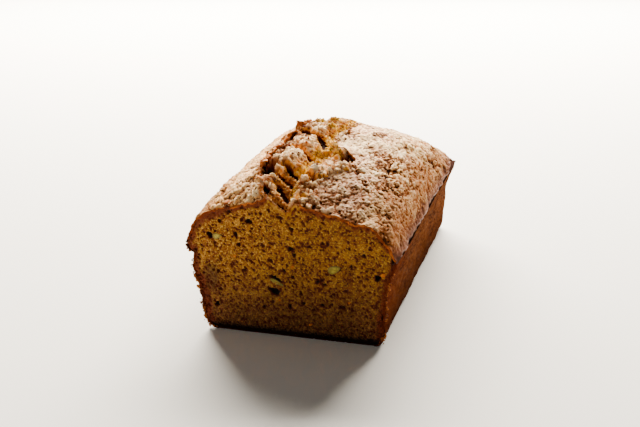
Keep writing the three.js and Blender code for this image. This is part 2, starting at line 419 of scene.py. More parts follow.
def torn_left(y):
    """Where the left half of the crust ends in a torn edge."""
    width = np.interp(y, GAPE_AT, LEFT_WIDTH)
    jag = 2.6 * rough(along(y), 6.5, 31) + 1.2 * rough(along(y), 2.6, 32)
    return floor_x(y) - width - jag * share(width, 0, 9)


def torn_right(y):
    """Where the right half ends."""
    width = np.interp(y, GAPE_AT, RIGHT_WIDTH)
    jag = 0.8 * rough(along(y), 8, 33) + 0.8 * rough(along(y), 2.4, 34)
    return floor_x(y) + width + jag * share(width, 0, 9)


def seam_opens(y, left):
    """1 where the skin stands clear of what is torn under it, 0 where the two have baked together."""
    open_here = share(rough(along(y), 7, 56 if left else 57) + (0.2 if left else -0.15), 0.0, 0.3)
    for cave_x, cave_y, _, half_length, _ in CAVES:
        if (cave_x < 0) == left:
            open_here = np.maximum(open_here, 1 - share(np.abs(y - cave_y) / half_length, 0.8, 1.5))
    return open_here * (1 - share(y, 10, 35))


def lip_gap(y):
    """How far the lip has come away from the tin side below it and left a slot, from 0 to about 1."""
    gap = np.zeros_like(y)
    for middle, half in LIP_SLOTS:
        gap = np.maximum(gap, 1 - share(np.abs(y - middle) / half, 0.55, 1.0))
    return gap * np.clip(0.75 + 0.7 * rough(along(y), 9, 88) + 0.35 * rough(along(y), 3.5, 89), 0.0, 1.2)


# the rows of a half are spaced along a line this far beside the loaf's middle
RIDGE_X = 26.0


def dome_net(rows, columns, start_x, end_x):
    """A net over one half of the dome, its points equally far apart across each row."""
    dense_y = np.linspace(FRONT, BACK, 1500)
    ridge = np.full_like(dense_y, RIDGE_X * np.sign(start_x(0.0) + end_x(0.0)))
    stops = even_shares(np.stack([dense_y, roof(ridge, dense_y)], -1), rows)
    y = FRONT + (BACK - FRONT) * stops
    dense = np.linspace(0, 1, 240)
    net = np.empty((rows, columns, 3))
    for row, (this_y, first, last) in enumerate(zip(y, start_x(y), end_x(y))):
        x = mix(first, last, dense)
        z = roof(x, np.full_like(x, this_y))
        t = even_shares(np.stack([x, z], -1), columns)
        net[row, :, 0] = mix(first, last, t)
        net[row, :, 1] = this_y
    net[..., 2] = roof(net[..., 0], net[..., 1])
    return net


split_gapes = torn_right(np.array(GAPE_AT)) - torn_left(np.array(GAPE_AT))
print("the split gapes up to", split_gapes.max().round(1), "mm")

# %% Relief of the baked skin
def creased(points, size, seed):
    """0 in thin winding creases and about 1 on the swellings between them, size millimetres across."""
    return np.clip(np.abs(rough(points, size, seed)) * 2.4, 0, 1.2)


def crust_relief(p):
    """Height of the skin's relief in millimetres, and how deep in a crack or pit each point is."""
    # the highest part, right of the split, baked a little smoother
    calm = share(p[..., 2], 80, 90) * share(p[..., 0], -2, 14) * 0.35
    # the rising batter drew its skin out along the loaf
    p = p * np.array([1, 0.58, 1])
    warp = rough_way(p, 6, (41, 42, 43))
    fray = rough_way(p, 2.0, (36, 37, 38))
    opened = share(rough(p, 12, 45) + 0.4 * rough(p, 5, 35), -0.25, 0.5)
    nearest, second, owner = lumps(p + 2.2 * warp + 1.2 * fray, 7.6, 44)
    gap = second - nearest
    crack = (1 - share(gap, 0.01, 0.1)) * opened
    plates = ((owner - 0.5) * 1.0 + 1.4 * (0.42 - nearest)) * share(gap, 0.0, 0.15) * mix(0.4, 1, opened)
    swell = creased(p + 1.0 * warp + 0.8 * fray, 4.3, 46)
    knobs = creased(p + 0.6 * fray, 1.9, 47)
    relief = 0.56 * (swell - 0.5) + 0.44 * (knobs - 0.5) + 0.34 * rough(p, 1.1, 48) + 0.3 * rough(p, 3.0, 34)
    relief = relief * (1 - calm) * mix(0.85, 1.15, opened)
    nearest, _, owner = lumps(p + 0.4 * fray, 2.1, 49)
    pit = (1 - share(nearest, 0.1, 0.32)) * (owner > 0.56 + 0.2 * calm)
    height = plates + relief - 0.8 * crack - 0.8 * pit + 0.5 * rough(p, 10, 50)
    hollow = np.clip(0.36 - 0.6 * relief - 0.22 * plates + 0.45 * crack + 0.8 * pit, 0, 1)
    return height, hollow


# where the lip burnt: middle x and y, size, and how far it stands up
BURNT_NIBS = ((-59.6, -107, 3.6, 0.5), (59.6, 89, 6.0, 0.6), (59.6, 78, 7.0, 0.6), (59.6, 68, 6.0, 0.4),
              (58, -102, 5.5, 0.1))
# bubbles that burst beside the burnt lip: middle y, distance in from the lip and radius
LIP_PITS = ((81.0, 3.6, 1.1), (69.5, 2.6, 1.9), (56.7, 1.8, 1.7), (48.0, 2.4, 1.1), (39.0, 1.6, 1.5),
            (24.0, 2.0, 1.2))


def burnt_lip(x, y, below):
    """1 on the burnt strip of the right lip near the back, below being how far under the lip's edge."""
    strip = 1 - share(np.abs(y - 80) / 19, 0.65, 1.1)
    return strip * share(x, 20, 40) * np.exp(-(below / 2.6) ** 4)


def burn_nibs(net):
    """Raises the burnt nibs of the lip. Gives the net, heights above the lip and how burnt each point is."""
    above_lip = np.maximum(net[..., 2] - lip_height(net[..., 0], net[..., 1]), 0)
    burnt = np.zeros_like(above_lip)
    for nib_x, nib_y, size, proud in BURNT_NIBS:
        away = np.hypot(net[..., 0] - nib_x, net[..., 1] - nib_y)
        nib = np.exp(-away / size) * np.exp(-above_lip / 4)
        net = net + proud * nib[..., None] * np.array([np.sign(nib_x) * 1.2, 0.5 * (nib_y > 0), 0.9])
        burnt = np.maximum(burnt, 1.5 * nib * np.exp(-above_lip / 5) * (nib_y < 0))
    strip = burnt_lip(net[..., 0], net[..., 1], 1.9 * above_lip + 0.8 * rough(net, 3, 58))
    return net, above_lip, np.clip(np.maximum(burnt, strip), 0, 1)


def sink_lip_pits(net, side, hollow):
    """Presses the burst bubbles into the right lip."""
    for pit_y, pit_side, radius in LIP_PITS:
        reach = np.hypot((net[..., 1] - pit_y) / 1.5, (side - pit_side) / 0.8) / radius
        sunk = 1 - share(reach, 0.6, 1.1)
        net[..., 2] -= 1.1 * sunk
        hollow = np.maximum(hollow, sunk)
    return net, hollow


print(len(BURNT_NIBS), "burnt nibs and", len(LIP_PITS), "burst bubbles on the lip")

# %% The crust's border, turned in
# how far each hem goes down under the skin and under the lip, how far inwards, and how far behind the cut
CRUST_HEMS = ((0.5, 0.3, -0.12, 0.0), (1.15, 0.6, 0.1, 0.0), (1.5, 0.9, 0.9, 0.9), (2.0, 1.4, 3.2, 3.2))


def crust_hems(net, left, slot):
    """The hems of one half, its border points, and which of them are at the lip and at the cut."""
    rows, columns = net.shape[:2]
    edge = border_loop(rows, columns)
    flat = net.reshape(-1, 3)[edge]
    down = -net_normals(net).reshape(-1, 3)[edge]
    inward = by_side(rows, columns, (0, 1, 0), (-1, 0, 0), (0, -1, 0), (1, 0, 0))
    at_lip = by_side(rows, columns, 0, 0 if left else 1, 1, 1 if left else 0)
    at_front = by_side(rows, columns, 1, 0, 0, 0)
    down = mix(down, np.array([0, 0, -1.0]), at_lip)
    down[:, 1] *= 1 - at_front[:, 0]
    ragged = (1 + 0.5 * rough(flat, 1.6, 54) + 0.4 * rough(flat, 4, 55))[:, None]
    slot = slot.reshape(-1)[edge][:, None] * at_lip
    on_front = np.zeros(len(edge), bool)
    on_front[:columns] = True
    hems = []
    for drop, lip_drop, back, behind_cut in CRUST_HEMS:
        fall = mix(drop, lip_drop, at_lip) * ragged + 1.5 * slot * min(drop, 1.2)
        hem = flat + down * fall + inward * back
        hem[on_front, 1] = FRONT + behind_cut
        hems.append(hem)
    return hems, edge, at_lip[:, 0], on_front


print(len(CRUST_HEMS), "hems round each half of the crust")

# %% Two halves of crust
CRUST_ROWS, CRUST_COLUMNS = 560, 168


def crust_half(name, start_x, end_x, torn_column, heart):
    """One half of the top crust with its lip, torn edge and cut rim turned in."""
    left = torn_column == -1
    net = dome_net(CRUST_ROWS, CRUST_COLUMNS, start_x, end_x)
    normals = net_normals(net)
    height, hollow = crust_relief(net)
    # slopes that face the window, which get painted shade to tone its light down
    facing_window = share(normals[..., 1] + 0.42 * np.maximum(0, -normals[..., 0]), 0.2, 0.37)
    side = lip_half(net[..., 1]) - np.abs(net[..., 0])
    torn = np.abs(net[..., 0] - net[:, torn_column, 0][:, None])
    width = np.interp(net[..., 1], GAPE_AT, LEFT_WIDTH)
    loose = seam_opens(net[..., 1], left)
    curl = np.exp(-torn / 2.2) * share(width, 1, 9) * loose
    height = height + (1.7 if left else 0.5) * curl * (1 + rough(net, 5, 51))
    lip = np.exp(-np.maximum(side, 0) / 1.8)
    outward = np.stack([np.sign(net[..., 0]), 0 * side, 0 * side], -1)
    net = net + normals * (height * (1 - 0.6 * lip) * mix(0.8, 1, share(side, 2, 20)))[..., None]
    slot = lip_gap(net[..., 1]) * (net[..., 0] > 0) * share(BACK - net[..., 1], 14, 22)
    net = net + outward * (lip * (0.4 * rough(net, 6, 52) + 0.15 * rough(net, 2, 53)))[..., None]
    net = net - outward * (1.3 * slot * np.exp(-np.maximum(side, 0) / 2.5))[..., None]
    net, above_lip, burnt = burn_nibs(net)
    if not left:
        net, hollow = sink_lip_pits(net, side, hollow)
    net[0, :, 1] = FRONT
    hems, edge, lip_side, on_front = crust_hems(net, left, slot)
    x, y = net[..., 0], net[..., 1]
    marks = {
        # hollow carries a painted highlight on the high points and painted shade in cracks and pits
        "hollow": hollow * mix(0.86, 1, share(x, -25, 10)),
        "torn": np.exp(-torn / 1.8) * share(width, 1, 8) * loose,
        "cut": 0.6 * np.exp(-(y - FRONT) / 0.6),
        "side": np.clip(side / 40, 0, 1),
        "tan": share(-x, 8, 30) * mix(0.6, 1, share(y, -90, -30)),
        # painted shade on the right front of the dome
        "front": share(x, 0, 15) * np.exp(-((y + 85) / 35) ** 2),
        "lip": np.exp(-above_lip / 5.0) * (side < 8),
        "burnt": burnt,
        # painted shade on the slopes that face the window
        "back": facing_window,
    }
    # a painted sheen along the edge of the right lip
    marks["painted_lip_sheen"] = marks["lip"] * (x > 0) * (1 - share(y, 88, 97))
    flat = net.reshape(-1, 3)[edge]
    # through hollow the hems get painted shade, darkest under the lip
    hem_marks = {
        "tan": on_front * share(-flat[:, 0], 25, 48),
        "torn": 1 - lip_side,
        "side": mix(0.25, 0.0, lip_side),
        "hollow": 0.3 + 0.7 * lip_side,
        "lip": 0 * lip_side,
        "cut": 1 * on_front,
        "burnt": burnt.reshape(-1)[edge] * np.maximum(lip_side, on_front),
    }
    # where the split has closed, the torn edge stays sharp
    number = np.arange(CRUST_ROWS * CRUST_COLUMNS).reshape(CRUST_ROWS, CRUST_COLUMNS)
    crease = np.flatnonzero(np.isin(edge, number[:, torn_column]) & (flat[:, 1] > 92))
    return net_piece(name, net, hems, heart, marks, crease, hem_marks), net


crust_left, left_net = crust_half("crust_left", lambda y: -lip_half(y), torn_left, -1, (-30, 10, 40))
crust_right, right_net = crust_half("crust_right", torn_right, lip_half, 0, (30, 10, 40))

# %% [markdown]
# ## Inside the split
# When the skin tore, the batter under it pulled apart into short thick ribs across the left flank and long
# low shelves along the right one. Their tops baked as the crust did, their torn sides stayed orange and gold,
# and between them it is dark with painted shade. Each rib could be a piece of its own, but ribs and floor are
# one torn surface.
# So the lining is a single net from under one torn edge to under the other. It is cut down between the ribs
# and leans forward, so that the ribs overhang the gaps in front of them.

# %% Ribs, gaps and floor of the split
# how many times as far as the torn edges the lining reaches, to end under the crust
TUCK = 1.22
# each gap between torn blocks: where it starts, where it ends and half its width
GAPS = (((-2.4, -103.4), (-12.5, -100.8), 1.1), ((-3.6, -95.8), (-12.4, -86.8), 2.2),
        ((-4.4, -82.5), (-15.5, -75.4), 2.1), ((-3.4, -73.6), (-13.5, -67.6), 2.0),
        ((-1.2, -47.5), (-9.3, -42.0), 2.4), ((-9.3, -42.0), (-22.0, -35.0), 2.7),
        ((0.6, -27.0), (-8.9, -12.5), 2.6), ((-8.9, -12.5), (-21.0, -2.0), 2.6),
        ((-0.5, -11.0), (-6.5, 1.5), 0.5), ((0.5, 0.0), (-2.5, 9.0), 0.4),
        ((-2.2, -99.6), (8.0, -97.2), 0.6), ((-2.8, -70.8), (7.0, -79.4), 0.9),
        ((6.0, -80.0), (12.5, -74.0), 1.3), ((0.4, -39.5), (9.5, -44.0), 0.8))
# each small round lump: its middle x and y, its radius and its height
BLOBS = ((-0.8, -48.6, 2.9, 3.4), (4.0, -33.0, 4.4, 3.2), (9.6, -38.5, 3.6, 2.0), (1.6, -4.5, 3.4, 1.8),
         (-4.6, 6.0, 3.8, 2.4), (3.6, 8.0, 3.2, 1.6), (-6.5, 20.0, 4.6, 2.2), (-15.0, 12.0, 4.4, 1.8),
         (5.2, 16.5, 3.0, 1.4))
# the low front edge of the long shelf on the right
SHELF_X, SHELF_Y = (-2.8, 7, 12.5, 20), (-69.5, -78.1, -72.5, -59)
# how deep the floor of the split lies under the dome, from the cut to the back
FLOOR_DEPTH_AT = (-107, -92, -70, -45, -20, 0, 20, 40, 76, 101)
FLOOR_DEPTHS = (7.9, 9.2, 9.2, 8.0, 6.4, 5.0, 3.2, 1.2, 0.4, 0.2)


def from_line(x, y, start, end):
    """Distance from each point to a straight line between two places."""
    run = np.array(end) - np.array(start)
    t = np.clip(((x - start[0]) * run[0] + (y - start[1]) * run[1]) / (run ** 2).sum(), 0, 1)
    return np.hypot(x - start[0] - t * run[0], y - start[1] - t * run[1])


def from_gaps(x, y):
    """How far each place is from the nearest gap between blocks, below 0 inside one."""
    away = np.full_like(y, 99.0)
    for start, end, half in GAPS:
        away = np.minimum(away, from_line(x, y, start, end) - half)
    return away


def with_blobs(x, y, z, small):
    """The surface z with the small round lumps on it, and where they are."""
    here = np.zeros_like(y)
    for blob_x, blob_y, radius, height in BLOBS:
        away = (x - blob_x) ** 2 + (y - blob_y) ** 2
        inside = np.clip(1 - away / (radius * (1 + 0.2 * small)) ** 2, 0, 1)
        z = z + height * np.sqrt(inside)
        here = np.maximum(here, share(inside, 0, 0.3))
    return z, here


def cave_drops(x, y, small):
    """Where the caves under the torn edges are, and how far they go down."""
    cave, drop = np.zeros_like(y), np.zeros_like(y)
    for cave_x, cave_y, half_width, half_length, cave_depth in CAVES:
        distance = np.hypot((x - cave_x) / half_width, (y - cave_y) / half_length) + 0.15 * small
        here = 1 - share(distance, 0.62, 1.0)
        cave = np.maximum(cave, here)
        drop = np.maximum(drop, here * cave_depth)
    return cave, drop


print(len(GAPS), "gaps,", len(BLOBS), "round lumps and", len(CAVES), "caves in the split")

# %% The lining as a net
SPLIT_END = 100
SPLIT_ROWS, SPLIT_COLUMNS = 665, 138
# a is -1 at the left torn edge, 0 at the floor and 1 at the right torn edge, and goes a little beyond both
y = np.linspace(FRONT, SPLIT_END, SPLIT_ROWS)
a = np.linspace(-TUCK, TUCK, SPLIT_COLUMNS)
a, y = np.meshgrid(a, y)
left = floor_x(y) - torn_left(y)
right = torn_right(y) - floor_x(y)
x = floor_x(y) + a * np.where(a < 0, left + 1.0, right + 1.0)
p = np.stack([x, y, roof(x, y)], -1)
wobble = rough_way(p, 8, (61, 62, 63))
small = rough(p, 3.2, 64)
reach = np.clip(np.abs(a), 0, 1)
is_left = share(-a, -0.05, 0.05)
at_cut = 1 - share(y, FRONT + 0.2, FRONT + 2.2)
print("lining:", SPLIT_ROWS, "rows from the cut to", SPLIT_END, "and", SPLIT_COLUMNS, "columns across")

# %% Blocks and shelves that rise from the floor
away = from_gaps(x + 0.9 * wobble[..., 0], y + 0.9 * wobble[..., 1] + 0.5 * small)
nearest, second, owner = lumps(p * np.array([0.8, 0.8, 0.5]) + 1.6 * wobble, 5.0, 66)
break_up = (1 - share(second - nearest, 0.02, 0.2)) * share(reach, 0.1, 0.35)
depth = np.interp(y, FLOOR_DEPTH_AT, FLOOR_DEPTHS)
# in front the left flank climbs evenly, farther back its blocks rise steeply from the floor
right_knee, left_knee = mix(0.5, 0.75, share(y, -60, 0)), mix(0.95, 0.4, share(y, -78, -66))
knee = mix(right_knee, left_knee, is_left) + 0.08 * wobble[..., 0]
rise = mix(share(reach, -0.03, knee), np.clip(reach / knee, 0, 1), 0.4)
clean = mix(np.clip(reach / 0.5, 0, 1), reach, is_left)
rise = mix(rise, clean, at_cut)
# some ribs on the left sag, and the shelf on the right stands proud
sag_left = 4.0 * share(y, -85, -79) * (1 - share(y, -72, -66))
sag_left = sag_left + share(y, -72, -60) * (1 - share(y, -20, 5))
behind = y + 0.8 * small - np.interp(x, SHELF_X, SHELF_Y)
shelf = share(behind, -0.3, 0.5) * (1 - share(behind, 8, 20)) * share(a, 0.05, 0.2)
sag_right = 1.2 * np.exp(-((behind + 3) / 3.5) ** 2) - 1.9 * shelf
sag = np.where(a < 0, sag_left * share(reach, 0.35, 0.95), sag_right)
lift = 1.9 * (owner - 0.45) * share(rise, 0.4, 0.8) * (1 - share(reach, 0.85, 1))
z_roof = roof(x, y)
scale = share(depth, 0.3, 3.5)
z_top = z_roof + 0.1 - depth * (1 - rise) - (sag - lift) * scale * (1 - at_cut)
z_top, blob_here = with_blobs(x, y, z_top, small)
print("tops of the blocks: up to", z_top.max().round(1), "mm high")

# %% Gaps and caves between the blocks
# between the blocks the surface drops from their rounded tops nearly to the floor
rounded = 1.9 * np.exp(-np.maximum(away, 0) / 1.4) * mix(0.6, 1, is_left)
z_deep = z_roof - depth * mix(1.0, 0.8, reach) - mix(0.4, 2.0, is_left) * scale * (1 - share(y, -25, -5))
cut = (1 - share(away, -1.0, 0.25)) * (1 - 0.8 * blob_here)
cut = np.maximum(cut, mix(0.3, 0.22, is_left) * break_up) * (1 - at_cut)
z = mix(z_top - rounded * scale * (1 - at_cut), np.minimum(z_deep, z_top), cut)
cave, drop = cave_drops(x, y, small)
seam = np.where(a < 0, seam_opens(y, True), seam_opens(y, False))
seam = seam * (1 - share(np.abs(np.abs(a) - 1.03), 0.03, 0.12))
z = z - drop * (1 - at_cut) - mix(1.8, 3.0, is_left) * seam * scale - 3.2 * share(np.abs(a), 1.0, 1.12)
stand = np.clip(z_top - z_deep, 0, 6) * (1 - np.maximum(cut, cave)) * (1 - at_cut)
lean = 0.4 * stand * mix(0.3, 1, is_left)
lining_net = np.stack([x, y - lean, z], -1)
print("blocks lean forward by up to", lean.max().round(1), "mm")

# %% Knobs on the torn surface
# they stand square to the surface, so that steep sides get them as well
skin, skin_hollow = crust_relief(p)
big_knob, _, _ = lumps(lining_net + 0.8 * wobble, 3.3, 72)
knob, _, _ = lumps(lining_net, 1.7, 73)
crease = creased(lining_net, 1.6, 75)
crumbly = 0.5 * (0.45 - big_knob) + 0.5 * (0.45 - knob) + 1.3 * (crease - 0.5)
crumbly = crumbly + 0.6 * rough(lining_net, 3.2, 70)
on_top = share(rise + 0.1 * lift, 0.75, 0.98) * (1 - share(cut, 0.1, 0.4)) * (1 - blob_here)
bumps = mix(crumbly * share(depth, 0.3, 2) * mix(1, 0.6, cut), skin + 0.35 * crumbly, on_top)
bumps = bumps * mix(0.6, 1, share(y, FRONT, FRONT + 2))
lining_net = lining_net + net_normals(lining_net) * bumps[..., None]
# under the skin the lining keeps behind the cut face, so that only the open V shows on it
hidden = share(np.abs(a), 0.9, 0.97)
lining_net[..., 1] = np.maximum(lining_net[..., 1], FRONT + 0.02 * (y - FRONT))
lining_net[0, :, 1] = FRONT
set_back = mix(lining_net[..., 1], FRONT + 3 + (y - FRONT) / 2, hidden)
lining_net[..., 1] = np.where(y < FRONT + 6, set_back, lining_net[..., 1])
lining_z = lining_net[..., 2]
print("the lining lies between", lining_z.min().round(1), "and", lining_z.max().round(1), "mm")

# %% Marks for the lining's finish
# brinks with painted highlight, baked tops, browned places with painted shade, gaps with painted shade, shaded
# low ribs and the golden floor
brink = share(away, -0.6, 0.3) * (1 - share(away, 0.6, 1.8)) * share(reach, 0.08, 0.3)
brink = np.maximum(brink, share(behind, -1.0, -0.2) * (1 - share(behind, 0.6, 2.0)) * share(a, 0.05, 0.2))
baked = share(rise + 0.1 * lift + 0.2 * rough(p, 5, 71), 0.4, 0.75)
baked = baked * (1 - 0.8 * brink) * (1 - share(cut, 0.06, 0.3)) * (1 - 0.8 * blob_here)
# browner along the left torn edge, at the cut and towards the back, with painted shade under the overhanging
# left torn edge
browned_and_shaded = share(reach + 0.15 * wobble[..., 1], 0.55, 0.85) * is_left * (1 - share(y, 15, 45))
browned_and_shaded = np.maximum(browned_and_shaded, 1 - share(y + small, FRONT + 1.0, FRONT + 4.5))
browned_and_shaded = np.maximum(browned_and_shaded, share(y, 58, 76))
# painted shade in the gaps, caves and open seams
dark = np.maximum(np.maximum(cut * share(z_top - z_deep, 0.3, 2.5), cave), seam)
low_down = 1 - share(rise, 0.3, 0.8)
floor_gold = 1 - share(rise, 0.15, 0.6)
gold_here = mix(0.8 * share(y, -100, -92), share(y, -76, -66), is_left)
golden = floor_gold * mix(1, 0.55, share(y, -20, 10)) * gold_here + 0.2 * brink
hollow = 0.42 + 0.5 * (big_knob - 0.5) + 0.7 * (knob - 0.5) - 0.35 * (crease - 0.5)
at_rim = 1 - share(y, FRONT + 0.3, FRONT + 1.2)
baked = baked * (1 - at_rim)
lining_marks = {
    "gap": np.clip(dark, 0, 1),
    "baked": np.clip(baked, 0, 1),
    # relief carries a painted highlight on the knob tops and painted shade between the knobs
    "relief": np.clip(mix(hollow, 0.5 * (hollow + skin_hollow), on_top) + 0.15 * at_rim, 0, 1),
    "golden": np.clip(np.maximum(golden, blob_here), 0, 1),
    "shaded": low_down * (1 - share(y, -80, -66)) * (1 - at_cut),
    "cave": cave,
    "brink": brink,
    "browned_and_shaded": np.clip(browned_and_shaded, 0, 1),
}
print("marks on the lining:", *lining_marks)

# %% Turn the lining's border in
edge = border_loop(SPLIT_ROWS, SPLIT_COLUMNS)
flat = lining_net.reshape(-1, 3)[edge]
# how far each hem goes down at the cut, and how far inwards
SPLIT_HEMS = ((0.8, -0.1), (1.4, 0.0), (1.9, 0.8), (2.8, 3.0))
inward = by_side(SPLIT_ROWS, SPLIT_COLUMNS, (0, 1, 0), (0, 0, -1), (0, 0, -1), (0, 0, -1))
front_down = by_side(SPLIT_ROWS, SPLIT_COLUMNS, (0, 0, -1), (0, 0, 0), (0, 0, 0), (0, 0, 0))
# where the open V is steep at the cut its rim is made deeper, so that it looks as thick as elsewhere
steep = np.ones(len(edge))
fall = np.abs(np.gradient(lining_net[0, :, 2]) / np.gradient(lining_net[0, :, 0]))
steep[:SPLIT_COLUMNS] = np.minimum(np.sqrt(1 + np.convolve(fall, np.ones(9) / 9, "same") ** 2), 1.7)
uneven = (steep * (1 + 0.25 * rough(flat, 2.0, 74)))[:, None]
hems = []
for drop, back in SPLIT_HEMS:
    hem = flat + front_down * drop * uneven + inward * back
    hem[:SPLIT_COLUMNS, 1] = flat[:SPLIT_COLUMNS, 1] + back
    hems.append(hem)
rim_here = front_down[:, 2] < -0.3
hem_marks = dict.fromkeys(("baked", "shaded", "cave", "brink", "browned_and_shaded"), np.zeros(len(edge)))
hem_marks["golden"] = np.where(rim_here, 0.35, 0.3)
# the hems under the torn edges get painted shade
hem_marks["gap"] = np.where(rim_here, 0.0, 0.6)
hem_marks["relief"] = np.where(rim_here, 0.6, 0.35)
split_lining = net_piece("split_lining", lining_net, hems, (-4, -20, 55), lining_marks, (), hem_marks)

# %% [markdown]
# ## The sides from the tin
# Batter that touched the tin baked smooth, with a fine grain, shallow dimples and open bubbles, and it is
# darkest low down, partly baked darker and partly painted shade. Right under the lip the batter sank before it
# set and left a broken row of slots. Three flat sides would need their corners joined, so one net walks round
# three sides from lip to bottom. The front is where the loaf was cut.

# %% Three sides in one net
WALL_ROWS, WALL_COLUMNS = 945, 98
# the sides begin this far below the lip's edge, and their foot is rounded
UNDER_LIP, BOTTOM_ROUND = 0.7, 2.6
# how far the last columns of the net reach in under the bottom edge
UNDER_STEPS = (0.2, 0.4, 0.6, 0.8, 0.95, 1.1)
walk_x, walk_y, out_x, out_y = rim_walk(WALL_ROWS)
drops = np.linspace(UNDER_LIP, LIP_HEIGHT, WALL_COLUMNS - len(UNDER_STEPS))
wall_x, wall_drop = np.meshgrid(walk_x, drops, indexing="ij")
wall_y = np.broadcast_to(walk_y[:, None], wall_x.shape)
wall_out = np.stack([np.broadcast_to(out_x[:, None], wall_x.shape),
                     np.broadcast_to(out_y[:, None], wall_x.shape), np.zeros_like(wall_x)], -1)
wall = wall_point(wall_x, wall_y, wall_out[..., 0], wall_out[..., 1], wall_drop)
over_round = np.clip(BOTTOM_ROUND - wall[..., 2], 0, BOTTOM_ROUND)
rounding = BOTTOM_ROUND - np.sqrt(BOTTOM_ROUND ** 2 - over_round ** 2)
wall = wall - wall_out * rounding[..., None] * 0.8
under = np.stack([wall[:, -1] - wall_out[:, -1] * step for step in UNDER_STEPS], 1)
wall = np.concatenate([wall, under], 1)
wall_out = np.concatenate([wall_out, np.repeat(wall_out[:, -1:], len(UNDER_STEPS), 1)], 1)
wall_drop = np.concatenate([wall_drop, np.full((WALL_ROWS, len(UNDER_STEPS)), LIP_HEIGHT)], 1)
print("sides:", WALL_ROWS, "steps round the loaf and", WALL_COLUMNS, "down")

# %% Grain, dimples, bubbles and slots of the sides
warp = rough_way(wall, 8, (81, 82, 83))
nearest, _, owner = lumps(wall + 1.5 * warp, 3.4, 84)
dimple = (1 - share(nearest, 0.1, 0.45)) * (owner > 0.62)
bubble_near, _, bubble_owner = lumps(wall, 1.9, 85)
bubble = (1 - share(bubble_near, 0.14, 0.34)) * (bubble_owner > 0.6)
grain = 0.16 * rough(wall, 2.4, 86) + 0.15 * rough(wall, 1.15, 87)
slot_here = lip_gap(wall[..., 1]) * share(wall[..., 0], 20, 40) * share(BACK - wall[..., 1], 14, 22)
slot = slot_here * (1 - share(wall_drop + 0.8 * rough(wall, 3, 94), 0.7, 2.0))
burnt_top = burnt_lip(wall[..., 0], wall[..., 1], 0.9 * wall_drop + 0.8 * rough(wall, 3, 58))
near_top = ((wall_drop - 1.5) / (3.4 + rough(wall, 2, 59))) ** 4
at_left_cut = np.exp(-((wall[..., 1] - FRONT) / 4) ** 4 - near_top)
burnt_top = np.maximum(burnt_top, 0.7 * at_left_cut * share(-wall[..., 0], 20, 40))
relief = grain + 0.55 * rough(wall, 9, 90) * share(wall_drop, 0, 9) - 0.4 * dimple - 0.5 * bubble
relief = relief * (1 - share(wall_drop, LIP_HEIGHT - 1.0, LIP_HEIGHT) * 0.85)
wall = wall + net_normals(wall) * relief[..., None]
wall[..., 2] = np.maximum(wall[..., 2], 0.05)
# the knife left the edge at the cut uneven
near_cut = np.exp(-(wall[..., 1] - FRONT) / 3.0) * share(wall_drop, 1, 5) * share(wall[..., 2], 0, 3)
wall = wall + wall_out * (near_cut * (0.7 * rough(wall, 5.5, 97) + 0.6 * rough(wall, 2.0, 98)))[..., None]
wall[0, :, 1] = wall[-1, :, 1] = FRONT
print("relief of the sides:", relief.min().round(1), "to", relief.max().round(1), "mm")

# %% Close the sides
# how far each hem goes in, and how far behind the cut
WALL_HEMS = ((1.1, 0.0), (1.6, 0.7), (2.4, 3.2))
edge = border_loop(WALL_ROWS, WALL_COLUMNS)
flat = wall.reshape(-1, 3)[edge]
out_edge = wall_out.reshape(-1, 3)[edge]
front_rim = by_side(WALL_ROWS, WALL_COLUMNS, 1, 0, 1, 0)
tuck_up = by_side(WALL_ROWS, WALL_COLUMNS, (0, 0, 0), (0, 0, 1), (0, 0, 0), (0, 0, 0.4))
# along the floor the hem turns up, so that it doesn't lie flat on the piece it belongs to
on_floor = flat[:, 2] < 1.0
pull = np.where(on_floor, 0.15, 1.0)[:, None]
tuck_up[:, 2] = np.where(on_floor, 1.0, tuck_up[:, 2])
# in the slots under the lip it goes down instead
under_lip = flat[:, 2] > 40
edge_slot = slot_here.reshape(-1)[edge]
tuck_up[:, 2] = np.where(under_lip, mix(tuck_up[:, 2], -2.4, edge_slot), tuck_up[:, 2])
first_column = np.arange(WALL_COLUMNS)
at_cut = np.isin(edge, np.concatenate([first_column, (WALL_ROWS - 1) * WALL_COLUMNS + first_column]))
hems = []
for drop, back in WALL_HEMS:
    hem = flat - out_edge * drop * pull + tuck_up * drop * 0.4 + front_rim * np.array([0, back, 0])
    hem[at_cut, 1] = FRONT + back
    hems.append(hem)
# the back and left sides face the window and get painted shade to tone its light down
at_left = share(-wall_out[..., 0], 0.2, 0.8) * share(wall[..., 1], -104, -96)
marks = {
    # painted shade in the dimples, bubbles and slots
    "hollow": np.clip(0.55 * dimple + 0.8 * bubble + slot * 1.2, 0, 1),
    "drop": wall_drop / LIP_HEIGHT,
    # painted shade in the slots, and the burnt strip
    "slot": np.maximum(slot, burnt_top),
    "cut": np.zeros_like(wall_drop),
    # painted shade, darker towards the cut
    "front": np.exp(-(wall[..., 1] - FRONT) / 45),
    "away": np.maximum(share(wall_out[..., 1], 0.2, 0.8), at_left),
}
cut_rim = front_rim[:, 0]
# under the lip the hems get painted shade, as the slots do
hem_marks = {
    "cut": cut_rim,
    "hollow": np.where(under_lip, 1.0, 0.2) * (1 - cut_rim),
    "slot": marks["slot"].reshape(-1)[edge],
}
tin_crust = net_piece("tin_crust", wall, hems, (0, 0, 25), marks, (), hem_marks)

# %% [markdown]
# ## The underside
# The bottom baked against the flat of the tin. It is smooth with a slow wave and open pores, and it lies a
# little above the floor where the wave lifts it. A flat polygon would be enough for its outline, but the
# pores need a net. Its edge follows the foot of the sides, rounded at the back corners.

# %% The underside
BASE_ROWS, BASE_COLUMNS = 300, 140
